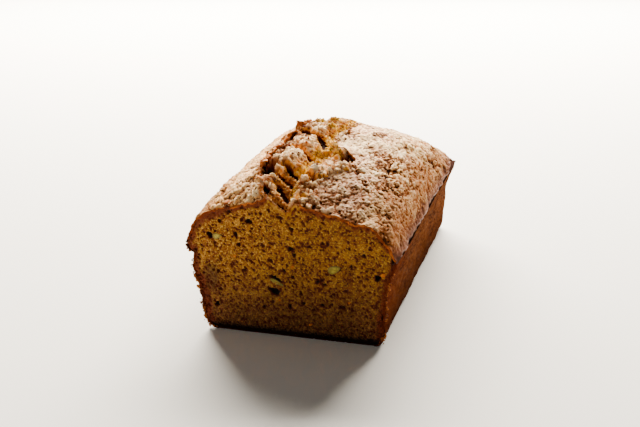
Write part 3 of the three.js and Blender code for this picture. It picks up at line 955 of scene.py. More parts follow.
# how far the bottom's edge keeps inside the foot of the sides, and where its back corners begin to round
BASE_INSIDE, BASE_INSIDE_BACK, CORNERS_IN = 2.0, 2.4, 11.5
base_v, base_u = np.meshgrid(np.linspace(0, 1, BASE_ROWS), np.linspace(0, 1, BASE_COLUMNS), indexing="ij")


def corner_pinch(radius):
    """How far a back corner rounded by radius draws each row in."""
    base_end = BACK - CORNERS_IN
    into = np.clip(mix(FRONT, base_end, base_v) - (base_end - radius), 0, radius - 0.1)
    return radius - np.sqrt(radius ** 2 - into ** 2)


left_x = -LIP_HALF + LEFT_INSET[-1] + BASE_INSIDE + corner_pinch(3.2)
right_x = LIP_HALF - RIGHT_INSET[-1] - BASE_INSIDE - corner_pinch(4.5)
base_x = mix(right_x, left_x, base_u)
back_inset = mix(LEFT_INSET[-1], RIGHT_INSET[-1], share(base_x, -LIP_HALF / 2, LIP_HALF / 2))
base_y = mix(FRONT, BACK - back_inset - BASE_INSIDE_BACK, base_v)
base = np.stack([base_x, base_y, np.zeros_like(base_x)], -1)
nearest, _, owner = lumps(base, 2.2, 91)
base_pore = (1 - share(nearest, 0.12, 0.4)) * (owner > 0.55)
base_wave = 0.28 + 0.22 * rough(base, 16, 92) + 0.1 * rough(base, 2.5, 93)
base[..., 2] = np.maximum(0.02, base_wave) + 0.5 * base_pore
edge = border_loop(BASE_ROWS, BASE_COLUMNS)
flat = base.reshape(-1, 3)[edge]
hems = [flat + np.array([0, 0, 1.2]), flat * np.array([0.97, 0.98, 1]) + np.array([0, 0, 2.0])]
for hem in hems:
    hem[:BASE_COLUMNS, 1] = FRONT
marks = {"hollow": base_pore, "drop": np.ones_like(base_u)}
bottom_crust = net_piece("bottom_crust", base, hems, (0, 0, 12), marks, (), {"hollow": np.ones(len(edge))})

# %% [markdown]
# ## The cut face
# The knife opened thousands of bubbles. The walls between them catch the light as a bright golden net and
# the bubbles themselves look dark and reddish. Most are under a millimetre, some reach four. Cutting real
# balls out with a boolean would be slow and would break easily. So each bubble is pressed into the net of the
# cut face as a ball would be, the deepest one winning where they overlap. The net is spread from the cut rims
# just made, so crumb and crust always meet.

# %% Spread a net inside the rims
FACE_ROWS, FACE_COLUMNS = 250, 376
INSET = 0.85


def even_line(points, count):
    """The same line with count points equally far apart."""
    t = even_shares(points, count)
    old = np.linspace(0, 1, len(points))
    return np.stack([np.interp(t, old, points[:, 0]), np.interp(t, old, points[:, 1])], -1)


def smooth_line(points, times):
    """The line with its small kinks eased, its ends kept."""
    for _ in range(times):
        points[1:-1] = (points[:-2] + 2 * points[1:-1] + points[2:]) / 4
    return points


def moved_in(points, amount, sign):
    """The line moved sideways by amount, to the side that sign says."""
    step = np.gradient(points, axis=0)
    step = step / np.linalg.norm(step, axis=1, keepdims=True)
    return points + sign * amount * np.stack([step[:, 1], -step[:, 0]], -1)


# the top line follows the lining only where it is this far from the torn ends of the crust
END_GAP = 0.6
lining_front = lining_net[0][:, [0, 2]]
past_left = lining_front[:, 0] > left_net[0, -1, 0] + END_GAP
inside = past_left & (lining_front[:, 0] < right_net[0, 0, 0] - END_GAP)
top_line = np.concatenate([left_net[0][:, [0, 2]], lining_front[inside], right_net[0][:, [0, 2]]])
top_line = moved_in(smooth_line(even_line(top_line, 1200), 12), INSET, 1)
top_line = smooth_line(even_line(top_line, FACE_COLUMNS), 1)
# the last columns of the sides lie under the loaf, so the side lines stop before them
UNDERNEATH = len(UNDER_STEPS) - 1
right_line = moved_in(wall[0][:, [0, 2]][:-UNDERNEATH], INSET, 1)[::-1]
left_line = moved_in(wall[-1][:, [0, 2]][:-UNDERNEATH], INSET, -1)[::-1]
left_line = even_line(np.concatenate([left_line, top_line[:1]]), FACE_ROWS)
right_line = even_line(np.concatenate([right_line, top_line[-1:]]), FACE_ROWS)
bottom_line = np.stack([np.linspace(left_line[0, 0], right_line[0, 0], FACE_COLUMNS),
                        np.full(FACE_COLUMNS, 0.5)], -1)
left_line[0], right_line[0] = bottom_line[0], bottom_line[-1]
u = np.linspace(0, 1, FACE_COLUMNS)[None, :, None]
v = np.linspace(0, 1, FACE_ROWS)[:, None, None]
flat_face = (mix(bottom_line[None], top_line[None], v) + mix(left_line[:, None], right_line[:, None], u)
             - mix(mix(bottom_line[0], bottom_line[-1], u), mix(top_line[0], top_line[-1], u), v))
print("cut face:", flat_face[..., 0].min().round(1), "to", flat_face[..., 0].max().round(1), "mm wide")

# %% Press the bubbles in
# The depths are gathered on a fine square raster first, where a bubble is round, and read off at the net.
face_x, face_z = flat_face[..., 0], flat_face[..., 1]
random = np.random.default_rng(7)
RASTER, RASTER_LEFT, RASTER_BOTTOM = 0.14, -62, -2
raster_x = np.arange(RASTER_LEFT, -RASTER_LEFT, RASTER)
raster_z = np.arange(RASTER_BOTTOM, 86, RASTER)
depth_raster = np.zeros((len(raster_z), len(raster_x)))


def press(x, z, radius, stretch, turn, deep, rugged=0.18):
    """Presses one bubble into the cut face and keeps whichever is deeper."""
    reach = radius * stretch * 1.4
    first, last = [int((edge_x - RASTER_LEFT) / RASTER) for edge_x in (x - reach, x + reach)]
    columns = slice(max(0, first), last + 2)
    first, last = [int((edge_z - RASTER_BOTTOM) / RASTER) for edge_z in (z - reach, z + reach)]
    rows = slice(max(0, first), last + 2)
    dx, dz = np.meshgrid(raster_x[columns] - x, raster_z[rows] - z)
    c, s = math.cos(turn), math.sin(turn)
    long, short = (dx * c + dz * s) / stretch, -dx * s + dz * c
    angle = np.arctan2(short, long)
    wavy = 1 + rugged * np.sin(3 * angle + x * 5) + 0.6 * rugged * np.sin(5 * angle + z * 7)
    inside = 1 - (long ** 2 + short ** 2) / (radius * wavy) ** 2
    ball = deep * np.sqrt(np.clip(inside, 0, 1))
    depth_raster[rows, columns] = np.maximum(depth_raster[rows, columns], ball)


# small bubbles stand in loose rows like a honeycomb's, a few of them missing
CRUMB_WIDE, CRUMB_HIGH = 122, 84
BUBBLE_PITCH, ROW_SQUEEZE, KEPT = 1.4, 0.86, 0.96
spots = 0
for row in range(int(CRUMB_HIGH / (BUBBLE_PITCH * ROW_SQUEEZE))):
    for column in range(int(CRUMB_WIDE / BUBBLE_PITCH)):
        x = -CRUMB_WIDE / 2 + (column + 0.5 * (row % 2) + random.uniform(-0.3, 0.3)) * BUBBLE_PITCH
        z = (row + random.uniform(-0.3, 0.3)) * BUBBLE_PITCH * ROW_SQUEEZE
        radius = 0.34 + 0.45 * random.random() ** 2
        if random.random() < KEPT:
            stretch, turn = random.uniform(1, 1.8), random.uniform(-1.4, 0.1)
            press(x, z, radius, stretch, turn, radius * random.uniform(0.9, 1.9))
            spots += 1
MIDDLE_BUBBLES = 130
for _ in range(MIDDLE_BUBBLES):
    radius = 0.6 + 0.55 * random.random() ** 2
    x, z = random.uniform(-57, 57), random.uniform(3, 80)
    press(x, z, radius, random.uniform(1, 1.9), random.uniform(-1.3, 0.2), radius * 2.1)
# each large hole: its middle x and z, radius, how far it is stretched and its turn
LARGE_HOLES = ((-46, 55.6, 1.5, 1.5, -1.0), (-23.3, 65.3, 1.35, 1.7, -0.1), (-30.9, 57.1, 1.15, 1.8, -1.2),
               (0.3, 51.7, 1.35, 1.4, -0.1), (-9.1, 25.8, 2.0, 1.75, -0.35), (48.6, 39.7, 1.75, 1.15, 1.2),
               (-34.6, 70, 1.0, 1.5, 0.2), (-40, 64.3, 1.05, 1.2, 0.0), (15.4, 33.8, 1.0, 1.6, 0.5),
               (18.8, 35.9, 0.8, 1.3, 0.6), (-16.4, 70.5, 0.8, 1.5, -0.3), (-42.6, 14.8, 1.4, 1.2, 1.2),
               (-29.3, 51.4, 1.0, 1.4, -0.2), (-5.5, 69.2, 0.9, 2.6, -0.2), (52.5, 16.5, 1.5, 1.2, 1.4),
               (-3.5, 38.6, 1.0, 1.5, -0.7), (1.5, 35.2, 1.0, 1.4, -0.5), (51.5, 60.5, 1.5, 1.2, 0.6),
               (57.2, 50.2, 1.5, 1.2, 0.8), (-25.5, 38.0, 0.9, 1.5, -0.9), (-41.5, 34.5, 0.9, 1.5, 1.4))
for x, z, radius, stretch, turn in LARGE_HOLES:
    press(x, z, radius, stretch, turn, radius * 2.3, 0.12)
# a whole seed and a sliver of one lie in hollows of their own
SEED_AT, SLIVER_AT = (24.9, 42.3), (-8.2, 32.4)
press(*SEED_AT, 2.1, 1.5, 0.45, 1.0, 0.05)
press(SLIVER_AT[0], SLIVER_AT[1] + 1.0, 1.1, 4.2, -0.42, 3.0, 0.05)
raster_column = (face_x - raster_x[0]) / RASTER
raster_row = (face_z - raster_z[0]) / RASTER
column, row = np.floor(raster_column).astype(int), np.floor(raster_row).astype(int)
part_x, part_z = raster_column - column, raster_row - row
depth = mix(mix(depth_raster[row, column], depth_raster[row, column + 1], part_x),
            mix(depth_raster[row + 1, column], depth_raster[row + 1, column + 1], part_x), part_z)
spots += MIDDLE_BUBBLES + len(LARGE_HOLES)
print(spots, "bubbles pressed, deepest", depth.max().round(1), "mm")

# %% Finish the cut face
edge_x = np.minimum(np.linalg.norm(flat_face - left_line[:, None], axis=-1),
                    0.65 * np.linalg.norm(flat_face - right_line[:, None], axis=-1))
edge_top = np.linalg.norm(flat_face - top_line[None], axis=-1)
rim = np.minimum(edge_x, edge_top)
face = np.stack([face_x, np.full_like(face_x, FRONT), face_z], -1)
ragged = 0.16 * rough(face, 1.6, 95) + 0.2 * rough(face, 5, 96)
keep = share(np.minimum(rim, face_z), 0.0, 0.9)
face[..., 1] += 0.18 + 0.35 * (1 - share(rim, 0, 0.8)) + (depth * 0.9 + ragged * 0.6 + 0.1) * keep
edge = border_loop(FACE_ROWS, FACE_COLUMNS)
flat = face.reshape(-1, 3)[edge]
hems = [flat + np.array([0, 1.2, 0]), flat * np.array([0.97, 1, 0.97]) + np.array([0, 4.5, 0.6])]
# the baked rim of the crumb has a wandering edge and is wider on the left
wander_in = 1.3 * rough(face, 6, 99)
baked_in = rim + wander_in + 0.9 * rough(face, 1.8, 100) + mix(0.6, -1.2, share(-face_x, 25, 48))
marks = {
    # bubble carries painted shade in the pressed bubbles
    "bubble": np.clip(depth / 2.5, 0, 1),
    "rim": np.clip(baked_in / 10, 0, 1),
    # height makes the crumb browner low down, partly moister crumb and partly painted shade, and nearly black
    # at the foot
    "height": face_z / 80,
    # painted shade, darker towards the right
    "across": share(face_x, -45, 40),
    "gummy": np.exp(-((face_x + 46) / 6) ** 2 - ((face_z - 31) / 11) ** 2),
}
cut_face = net_piece("cut_face", face, hems, (0, -88, 38), marks)

# %% [markdown]
# ## Seeds and bits of pumpkin
# The batter holds pumpkin seeds and soft orange bits of pumpkin, and the knife went through a few of them. A
# cut seed is a flat almond, pale green inside a thin darker skin, nearly level with the crumb round it. A
# sphere would look like a bead, so the seed is drawn as rings inside an almond outline, with a flat face and
# a round back.

# %% Almond rings for a seed
def almond(centre, long, wide, turn, proud, deep, shade, seed, rings=16, around=56):
    """Points, faces and skin marks of one seed, its flat side looking out of the cut face."""
    angle = np.linspace(0, 2 * math.pi, around, endpoint=False)
    ring = np.concatenate([np.linspace(0, 1, rings), np.linspace(0.98, 0, rings // 2)])[1:-1]
    back = np.concatenate([np.zeros(rings - 1), np.ones(rings // 2 - 1)])
    scale, angle = np.meshgrid(ring, angle, indexing="ij")
    along_seed = long * np.cos(angle) * scale
    across_seed = wide * np.sin(angle) * (1 - 0.38 * np.cos(angle)) * scale
    flat = np.stack([along_seed, across_seed, 0 * scale], -1)
    uneven = 0.12 * rough(flat + seed * 10, 1.3, 101) + 0.06 * rough(flat + seed * 10, 0.6, 102)
    front = -proud * np.sqrt(1 - np.minimum(scale, 1) ** 2.5) + uneven
    y = np.where(back[:, None] > 0, deep * np.sqrt(1 - scale ** 2), front)
    c, s = math.cos(turn), math.sin(turn)
    x, z = along_seed * c - across_seed * s, along_seed * s + across_seed * c
    points = np.stack([centre[0] + x, FRONT + centre[2] + y, centre[1] + z], -1).reshape(-1, 3)
    points = np.concatenate([points, [[centre[0], FRONT + centre[2] - proud, centre[1]],
                                      [centre[0], FRONT + centre[2] + deep, centre[1]]]])
    count = len(ring)
    number = np.arange(count * around).reshape(count, around)
    after = np.roll(number, -1, axis=1)
    quads = np.stack([number[:-1], number[1:], after[1:], after[:-1]], -1).reshape(-1, 4).tolist()
    tip, tail = count * around, count * around + 1
    fans = [(tip, int(number[0, i]), int(after[0, i])) for i in range(around)]
    fans += [(tail, int(after[-1, i]), int(number[-1, i])) for i in range(around)]
    skin = np.concatenate([(scale * (back[:, None] == 0) + back[:, None]).reshape(-1), [0, 1]])
    skin = np.maximum(skin, shade * share(points[:, 0], centre[0] - long, centre[0]))
    return points, quads + fans, skin


def joined_piece(name, parts, title):
    """One object from several closed parts, with one mark on its points."""
    points, faces, values = [], [], []
    for part_points, part_faces, part_values in parts:
        start = sum(len(p) for p in points)
        faces += [tuple(start + corner for corner in face) for face in part_faces]
        points.append(part_points)
        values.append(part_values)
    mesh = bpy.data.meshes.new(name)
    mesh.from_pydata((np.concatenate(points) / 1000).tolist(), [], faces)
    mesh.shade_smooth()
    mesh.attributes.new(title, "FLOAT", "POINT").data.foreach_set("value", np.concatenate(values))
    piece = bpy.data.objects.new(name, mesh)
    bpy.context.collection.objects.link(piece)
    print(f"{name}: {len(parts)} parts, {len(faces)} faces")
    return piece


# for each seed: its centre x and z with the depth behind the cut, half length, half width, turn, how proud
# and how deep it stands, and how dark it is
SEEDS = (((SEED_AT[0], SEED_AT[1], 0.35), 3.7, 2.1, 0.42, 0.3, 1.6, 0.35),
         ((SLIVER_AT[0] + 0.6, SLIVER_AT[1] - 0.9, 0.5), 4.3, 1.05, -0.42, 0.2, 1.4, 0.85),
         ((-41.6, 55.4, 0.45), 2.7, 1.6, 0.15, 0.3, 1.2, 0.2))
cut_seeds = [almond(*seed, number) for number, seed in enumerate(SEEDS)]
pumpkin_seeds = joined_piece("pumpkin_seeds", cut_seeds, "skin")
# the same for each bit of pumpkin
BITS = (((51.8, 41.9, 0.3), 1.5, 1.3, 0.9, 0.4, 1.4, 0), ((-6.2, 21.4, 0.4), 1.3, 0.9, -0.5, 0.2, 1.2, 0.8),
        ((11.6, 8.4, 0.4), 1.2, 0.8, 0.3, 0.2, 1.2, 0.6), ((1.6, 41.5, 0.4), 1.2, 0.9, 0.2, 0.2, 1.2, 0.7),
        ((-31.5, 44.6, 0.4), 1.0, 0.8, 0.8, 0.2, 1.2, 0.6), ((33.5, 24.0, 0.4), 1.0, 0.7, 0.5, 0.2, 1.2, 0.6))
cut_bits = [almond(*bit, 20 + number, 8, 30) for number, bit in enumerate(BITS)]
pumpkin_bits = joined_piece("pumpkin_bits", cut_bits, "skin")

# %% [markdown]
# ## Crumbs that cling to the edges
# The knife left crumbs hanging on the cut rims, most of them low on the left, and more sit in the split.
# Copies made one by one would do, but these are hundreds of small lumps of one kind, which is work for
# Geometry Nodes: the script chooses the places, and the tree puts a rough lump of its own size and turn on
# each.

# %% Places for the crumbs
crumb_random = np.random.default_rng(11)


def along_rim(line, start, end, count, spread):
    """Places near a stretch of a cut rim, a little in front of it or beside it."""
    row = crumb_random.integers(int(start * len(line)), max(int(end * len(line)), 1), count)
    return line[row] + crumb_random.normal(0, 1, (count, 3)) * spread


left_rim, right_rim = wall[-1, :-UNDERNEATH], wall[0, :-UNDERNEATH]
CRUMBS_IN_SPLIT = 110
torn_here = crumb_random.integers(40, 430, CRUMBS_IN_SPLIT)
torn_side = crumb_random.integers(16, SPLIT_COLUMNS - 16, CRUMBS_IN_SPLIT)
places = np.concatenate([
    along_rim(left_rim, 0.35, 1.0, 110, (0.4, 0.3, 0.5)),
    along_rim(left_rim, 0.0, 0.4, 26, (0.4, 0.3, 0.5)),
    along_rim(right_rim, 0.1, 1.0, 26, (0.4, 0.3, 0.5)),
    along_rim(right_rim, 0.82, 1.0, 14, (0.6, 0.4, 0.4)),
    lining_net[torn_here, torn_side] + np.array([0, 0, 0.2]),
])
places[:, 1] = np.maximum(places[:, 1], FRONT - 0.5)
places[:, 2] = np.maximum(places[:, 2], 1.2)
places_mesh = bpy.data.meshes.new("crumb_places")
places_mesh.from_pydata((places / 1000).tolist(), [], [])
crumbs = bpy.data.objects.new("clinging_crumbs", places_mesh)
bpy.context.collection.objects.link(crumbs)
print(len(places), "places for crumbs")

# %% A tree that puts a rough lump on every place
# the tree's inputs, in metres: the smallest and largest radius and how ragged a lump is, and a fixed seed
CRUMB_INPUTS = {"Smallest": 0.00025, "Largest": 0.0008, "Raggedness": 0.0008, "Seed": 5}


def crumb_tree(finish):
    """Geometry Nodes: points in, rough lumps out."""
    tree = bpy.data.node_groups.new("clinging crumbs", "GeometryNodeTree")
    tree.interface.new_socket("Places", in_out="INPUT", socket_type="NodeSocketGeometry")
    for title, value in CRUMB_INPUTS.items():
        kind = "NodeSocketInt" if isinstance(value, int) else "NodeSocketFloat"
        tree.interface.new_socket(title, in_out="INPUT", socket_type=kind).default_value = value
    tree.interface.new_socket("Crumbs", in_out="OUTPUT", socket_type="NodeSocketGeometry")
    given, result = tree.nodes.new("NodeGroupInput"), tree.nodes.new("NodeGroupOutput")
    lump = tree.nodes.new("GeometryNodeMeshIcoSphere")
    lump.inputs["Radius"].default_value = 1.0
    lump.inputs["Subdivisions"].default_value = 2
    size = tree.nodes.new("FunctionNodeRandomValue")
    size.data_type = "FLOAT"
    turn = tree.nodes.new("FunctionNodeRandomValue")
    turn.data_type = "FLOAT_VECTOR"
    turn.inputs["Max"].default_value = (6.28, 6.28, 6.28)  # about a full turn round each axis
    stand = tree.nodes.new("GeometryNodeInstanceOnPoints")
    real = tree.nodes.new("GeometryNodeRealizeInstances")
    noise = tree.nodes.new("ShaderNodeTexNoise")
    noise.inputs["Scale"].default_value = 1400  # blots of about 0.7 mm
    centre = tree.nodes.new("ShaderNodeVectorMath")
    centre.operation = "SUBTRACT"
    centre.inputs[1].default_value = (0.5, 0.5, 0.5)
    push = tree.nodes.new("ShaderNodeVectorMath")
    push.operation = "SCALE"
    move = tree.nodes.new("GeometryNodeSetPosition")
    dress = tree.nodes.new("GeometryNodeSetMaterial")
    dress.inputs["Material"].default_value = finish
    for source, target in (
            (given.outputs["Places"], stand.inputs["Points"]),
            (lump.outputs["Mesh"], stand.inputs["Instance"]),
            (given.outputs["Smallest"], size.inputs[2]),
            (given.outputs["Largest"], size.inputs[3]),
            (given.outputs["Seed"], size.inputs["Seed"]),
            (given.outputs["Seed"], turn.inputs["Seed"]),
            (size.outputs[1], stand.inputs["Scale"]),
            (turn.outputs[0], stand.inputs["Rotation"]),
            (stand.outputs["Instances"], real.inputs["Geometry"]),
            (real.outputs["Geometry"], move.inputs["Geometry"]),
            (noise.outputs["Color"], centre.inputs[0]),
            (centre.outputs["Vector"], push.inputs[0]),
            (given.outputs["Raggedness"], push.inputs["Scale"]),
            (push.outputs["Vector"], move.inputs["Offset"]),
            (move.outputs["Geometry"], dress.inputs["Geometry"]),
            (dress.outputs["Geometry"], result.inputs["Crumbs"])):
        tree.links.new(source, target)
    return tree


def grown(piece, tree, settings):
    """Runs a tree on a piece and keeps the result as its plain mesh."""
    modifier = piece.modifiers.new(tree.name, "NODES")
    modifier.node_group = tree
    for item in tree.interface.items_tree:
        if item.in_out == "INPUT" and item.name in settings:
            modifier[item.identifier] = settings[item.name]
    ready = piece.evaluated_get(bpy.context.evaluated_depsgraph_get())
    mesh = bpy.data.meshes.new_from_object(ready)
    piece.modifiers.remove(modifier)
    piece.data = mesh
    mesh.shade_smooth()
    print(f"{piece.name}: {len(mesh.polygons)} faces")
    return piece


# %% [markdown]
# ## Finishes
# A baked surface's colour follows its own shape: the ridges get a painted highlight, cracks and bubbles
# painted shade, and everything is mottled by chance. Painting it by hand would take days. Each net already
# carries marks for its cracks, edges and baked places, so a finish starts from mottled noise and lays one
# stain after another over it wherever a mark says so.

# %% A small kit for shader nodes
class Finish:
    """One material, with the few node recipes that this loaf needs."""

    def __init__(self, name, roughness, specular=0.5):
        self.material = bpy.data.materials.new(name)
        self.material.use_nodes = True
        self.tree = self.material.node_tree
        self.shader = self.tree.nodes["Principled BSDF"]
        self.shader.inputs["Roughness"].default_value = roughness
        self.link(specular, self.shader.inputs["Specular IOR Level"])
        self.place = self.tree.nodes.new("ShaderNodeTexCoord").outputs["Object"]

    def link(self, value, socket):
        """Joins a socket to another, or sets a plain number or colour on it."""
        if isinstance(value, bpy.types.NodeSocket):
            self.tree.links.new(value, socket)
        else:
            socket.default_value = value

    def mark(self, title):
        """A value stored on the piece's points."""
        node = self.tree.nodes.new("ShaderNodeAttribute")
        node.attribute_name = title
        return node.outputs["Fac"]

    def noise(self, size_mm, detail=3.0, squeeze=(1, 1, 1), shift=0.0):
        """Cloudy noise whose blots are about size_mm across."""
        mapping = self.tree.nodes.new("ShaderNodeMapping")
        mapping.inputs["Scale"].default_value = squeeze
        mapping.inputs["Location"].default_value = (shift, shift, shift)
        self.tree.links.new(self.place, mapping.inputs["Vector"])
        node = self.tree.nodes.new("ShaderNodeTexNoise")
        node.inputs["Scale"].default_value = 1000 / size_mm
        node.inputs["Detail"].default_value = detail
        self.tree.links.new(mapping.outputs["Vector"], node.inputs["Vector"])
        return node.outputs["Fac"]

    def specks(self, size_mm):
        """Distance to the nearest of scattered points, for small round specks."""
        node = self.tree.nodes.new("ShaderNodeTexVoronoi")
        node.inputs["Scale"].default_value = 1000 / size_mm
        self.tree.links.new(self.place, node.inputs["Vector"])
        return node.outputs["Distance"]

    def between(self, value, start, end, low_end=0.0, high_end=1.0):
        """Stretches value so that start gives low_end and end gives high_end, and stops there."""
        node = self.tree.nodes.new("ShaderNodeMapRange")
        node.interpolation_type = "SMOOTHSTEP"
        for name, number in (("Value", value), ("From Min", start), ("From Max", end), ("To Min", low_end),
                             ("To Max", high_end)):
            self.link(number, node.inputs[name])
        return node.outputs["Result"]

    def math(self, kind, a, b):
        """Sums with numbers or sockets, kept between 0 and 1."""
        node = self.tree.nodes.new("ShaderNodeMath")
        node.operation = kind
        node.use_clamp = True
        self.link(a, node.inputs[0])
        self.link(b, node.inputs[1])
        return node.outputs["Value"]

    def blend(self, amount, first, second):
        """Mixes two colours."""
        node = self.tree.nodes.new("ShaderNodeMix")
        node.data_type = "RGBA"
        self.link(amount, node.inputs["Factor"])
        self.link(first, node.inputs[6])
        self.link(second, node.inputs[7])
        return node.outputs[2]

    def mottled(self, size_mm, start, end, first, second, **noise):
        """Blots of the second colour on the first, about size_mm across."""
        amount = self.between(self.noise(size_mm, **noise), start, end)
        return self.blend(amount, colour(*first), colour(*second))

    def flecked(self, tone, size_mm, start, end, strong, tint, **noise):
        """Blots of tint over tone, about size_mm across, as strong as strong says."""
        amount = self.between(self.noise(size_mm, **noise), start, end, 0.0, strong)
        return self.blend(amount, tone, colour(*tint))

    def dotted(self, tone, size_mm, inner, outer, strong, tint):
        """Small round specks of tint over tone."""
        return self.blend(self.between(self.specks(size_mm), inner, outer, strong, 0.0), tone, colour(*tint))

    def stained(self, tone, *stains):
        """Lays stains over tone, one after another. Each has a mark, the two values between which it changes,
        its strength at each of the two, and its colour."""
        for title, start, end, at_start, at_end, tint in stains:
            amount = self.between(self.mark(title), start, end, at_start, at_end)
            tone = self.blend(amount, tone, colour(*tint))
        return tone

    def bump(self, height, depth_mm):
        """Relief finer than the net."""
        node = self.tree.nodes.new("ShaderNodeBump")
        node.inputs["Distance"].default_value = depth_mm / 1000
        self.link(height, node.inputs["Height"])
        return node.outputs["Normal"]

    def wear(self, tone, normal):
        """Puts colour and relief on the shader and gives the material."""
        self.link(tone, self.shader.inputs["Base Color"])
        self.tree.links.new(normal, self.shader.inputs["Normal"])
        print(self.material.name, "has", len(self.tree.nodes), "nodes")
        return self.material


# %% [markdown]
# ## Baked top crust
# The crust is tan and gold in soft patches, grey brown along the lip and burnt in places. A painted
# highlight makes it palest where it stands up and painted shade nearly black in its cracks; painted shade also
# darkens the right front and the slopes that face the window, and a painted sheen runs along the right lip's
# edge. A dull skin with one roughness would look like paper, so its sheen is stronger towards the middle of
# the dome and goes out in the hollows and on the burnt lip.

# %% Baked top crust
crust = Finish("baked_crust", 0.6)
sheen = crust.between(crust.mark("side"), 0.3, 0.9, 0.015, 0.07)
for title, start, end, left_over in (("burnt", 0.1, 0.6, 0.0), ("hollow", 0.3, 0.6, 0.1)):
    sheen = crust.math("MULTIPLY", sheen, crust.between(crust.mark(title), start, end, 1.0, left_over))
crust.link(sheen, crust.shader.inputs["Specular IOR Level"])
DRAWN = (1, 0.6, 1)  # the skin was drawn out along the loaf, and its patches with it
tone = crust.mottled(15, 0.4, 0.62, (222, 150, 82), (255, 206, 134), squeeze=DRAWN)
tone = crust.flecked(tone, 1.7, 0.42, 0.66, 0.6, (255, 217, 156), squeeze=DRAWN, detail=4)
tone = crust.flecked(tone, 8, 0.57, 0.68, 0.5, (206, 126, 44), squeeze=DRAWN, shift=0.3)
tone = crust.flecked(tone, 11, 0.52, 0.64, 0.45, (186, 126, 92), squeeze=DRAWN, shift=0.7)
tone = crust.stained(tone, ("tan", 0.0, 1.0, 0.0, 0.85, (252, 178, 92)))
# painted highlight: the high points of the relief are painted pale cream, half as strongly on the tan left
# side
pale = crust.between(crust.mark("hollow"), 0.3, 0.06, 0.0, 0.75)
pale = crust.math("MULTIPLY", pale, crust.between(crust.mark("tan"), 0.0, 1.0, 1.0, 0.5))
tone = crust.blend(pale, tone, colour(255, 230, 176))
tone = crust.stained(
    tone,
    # painted shade on the right front of the dome
    ("front", 0.1, 0.9, 0.0, 0.6, (140, 82, 38)),
    ("side", 0.1, 0.48, 0.76, 0.0, (156, 94, 46)),
    # painted shade on the slopes that face the window
    ("back", 0.0, 1.0, 0.0, 0.85, (152, 90, 46)),
    # painted shade in cracks and pits, nearly black in the deepest
    ("hollow", 0.31, 0.56, 0.0, 0.88, (116, 60, 20)),
    ("hollow", 0.58, 0.9, 0.0, 1.0, (50, 22, 8)),
    ("torn", 0.3, 0.9, 0.0, 0.8, (186, 106, 38)))
sliced = crust.mottled(4.5, 0.42, 0.6, (128, 56, 20), (184, 98, 36), detail=2)
sliced = crust.stained(sliced, ("tan", 0.2, 1.0, 0.0, 0.7, (104, 34, 14)))
tone = crust.blend(crust.between(crust.mark("cut"), 0.3, 0.9, 0.0, 0.92), tone, sliced)
tone = crust.dotted(tone, 2.1, 0.12, 0.22, 0.8, (66, 28, 10))
lip_tone = crust.mottled(3.5, 0.4, 0.6, (96, 58, 44), (146, 98, 76), squeeze=DRAWN)
tone = crust.blend(crust.between(crust.mark("lip"), 0.06, 0.75, 0.0, 0.9), tone, lip_tone)
# a painted sheen, pale lavender grey, along the right lip's edge, then the burnt places
tone = crust.stained(
    tone,
    ("painted_lip_sheen", 0.9, 1.0, 0.0, 0.6, (186, 156, 146)),
    ("burnt", 0.2, 0.75, 0.0, 0.95, (52, 32, 27)))
baked_crust = crust.wear(tone, crust.bump(crust.noise(0.75), 0.5))

# %% [markdown]
# ## Sides and bottom from the tin
# Where the batter met the tin it is brown to nearly black, matt, and mottled along the loaf. It is darkest at
# the foot, partly baked darker and partly painted shade, and painted shade also darkens it towards the cut and
# on the sides that face the window. It could be one dark brown, but its bubbles and slots are what shows that
# it was baked in a tin, so they are laid on last and almost black as painted shade.

# %% Sides and bottom from the tin
tin = Finish("tin_side", 0.75, 0.0)
tone = tin.mottled(12, 0.4, 0.6, (60, 32, 22), (90, 50, 26), squeeze=(1, 0.6, 1), detail=4)
tone = tin.flecked(tone, 4.5, 0.5, 0.64, 0.6, (94, 66, 50), squeeze=(1, 0.5, 1))
tone = tin.flecked(tone, 1.4, 0.42, 0.64, 0.7, (128, 76, 42), squeeze=(1, 0.5, 1))
tone = tin.stained(
    tone,
    # painted shade towards the cut
    ("front", 0.1, 1.0, 0.0, 0.5, (88, 27, 12)),
    # painted shade on the back and left sides, which face the window
    ("away", 0.0, 1.0, 0.0, 0.6, (52, 24, 12)),
    # darker towards the foot, partly baked darker and partly a painted contact shadow
    ("drop", 0.35, 1.0, 0.0, 0.75, (58, 24, 9)),
    ("cut", 0.0, 1.0, 0.0, 0.5, (120, 44, 10)),
    # painted shade in the dimples, bubbles and slots
    ("hollow", 0.15, 0.8, 0.0, 1.0, (30, 12, 5)))
tone = tin.dotted(tone, 1.5, 0.1, 0.24, 0.75, (58, 22, 6))
# painted shade in the slots under the lip, and the burnt strip below the lip with them
tone = tin.blend(tin.mark("slot"), tone, colour(24, 9, 4))
tin_side = tin.wear(tone, tin.bump(tin.noise(0.9), 0.7))

# %% [markdown]
# ## Torn inside of the split
# What tore late is moist and orange, and gold down on the floor. The tops that tore early baked as pale as
# the crust. Three separate materials would leave hard borders on this one net, so the three colourings are
# blended by its marks. The brinks and knob tops get painted highlight and the hollows between knobs painted
# shade, and the gaps and caves are darkened last with painted shade.

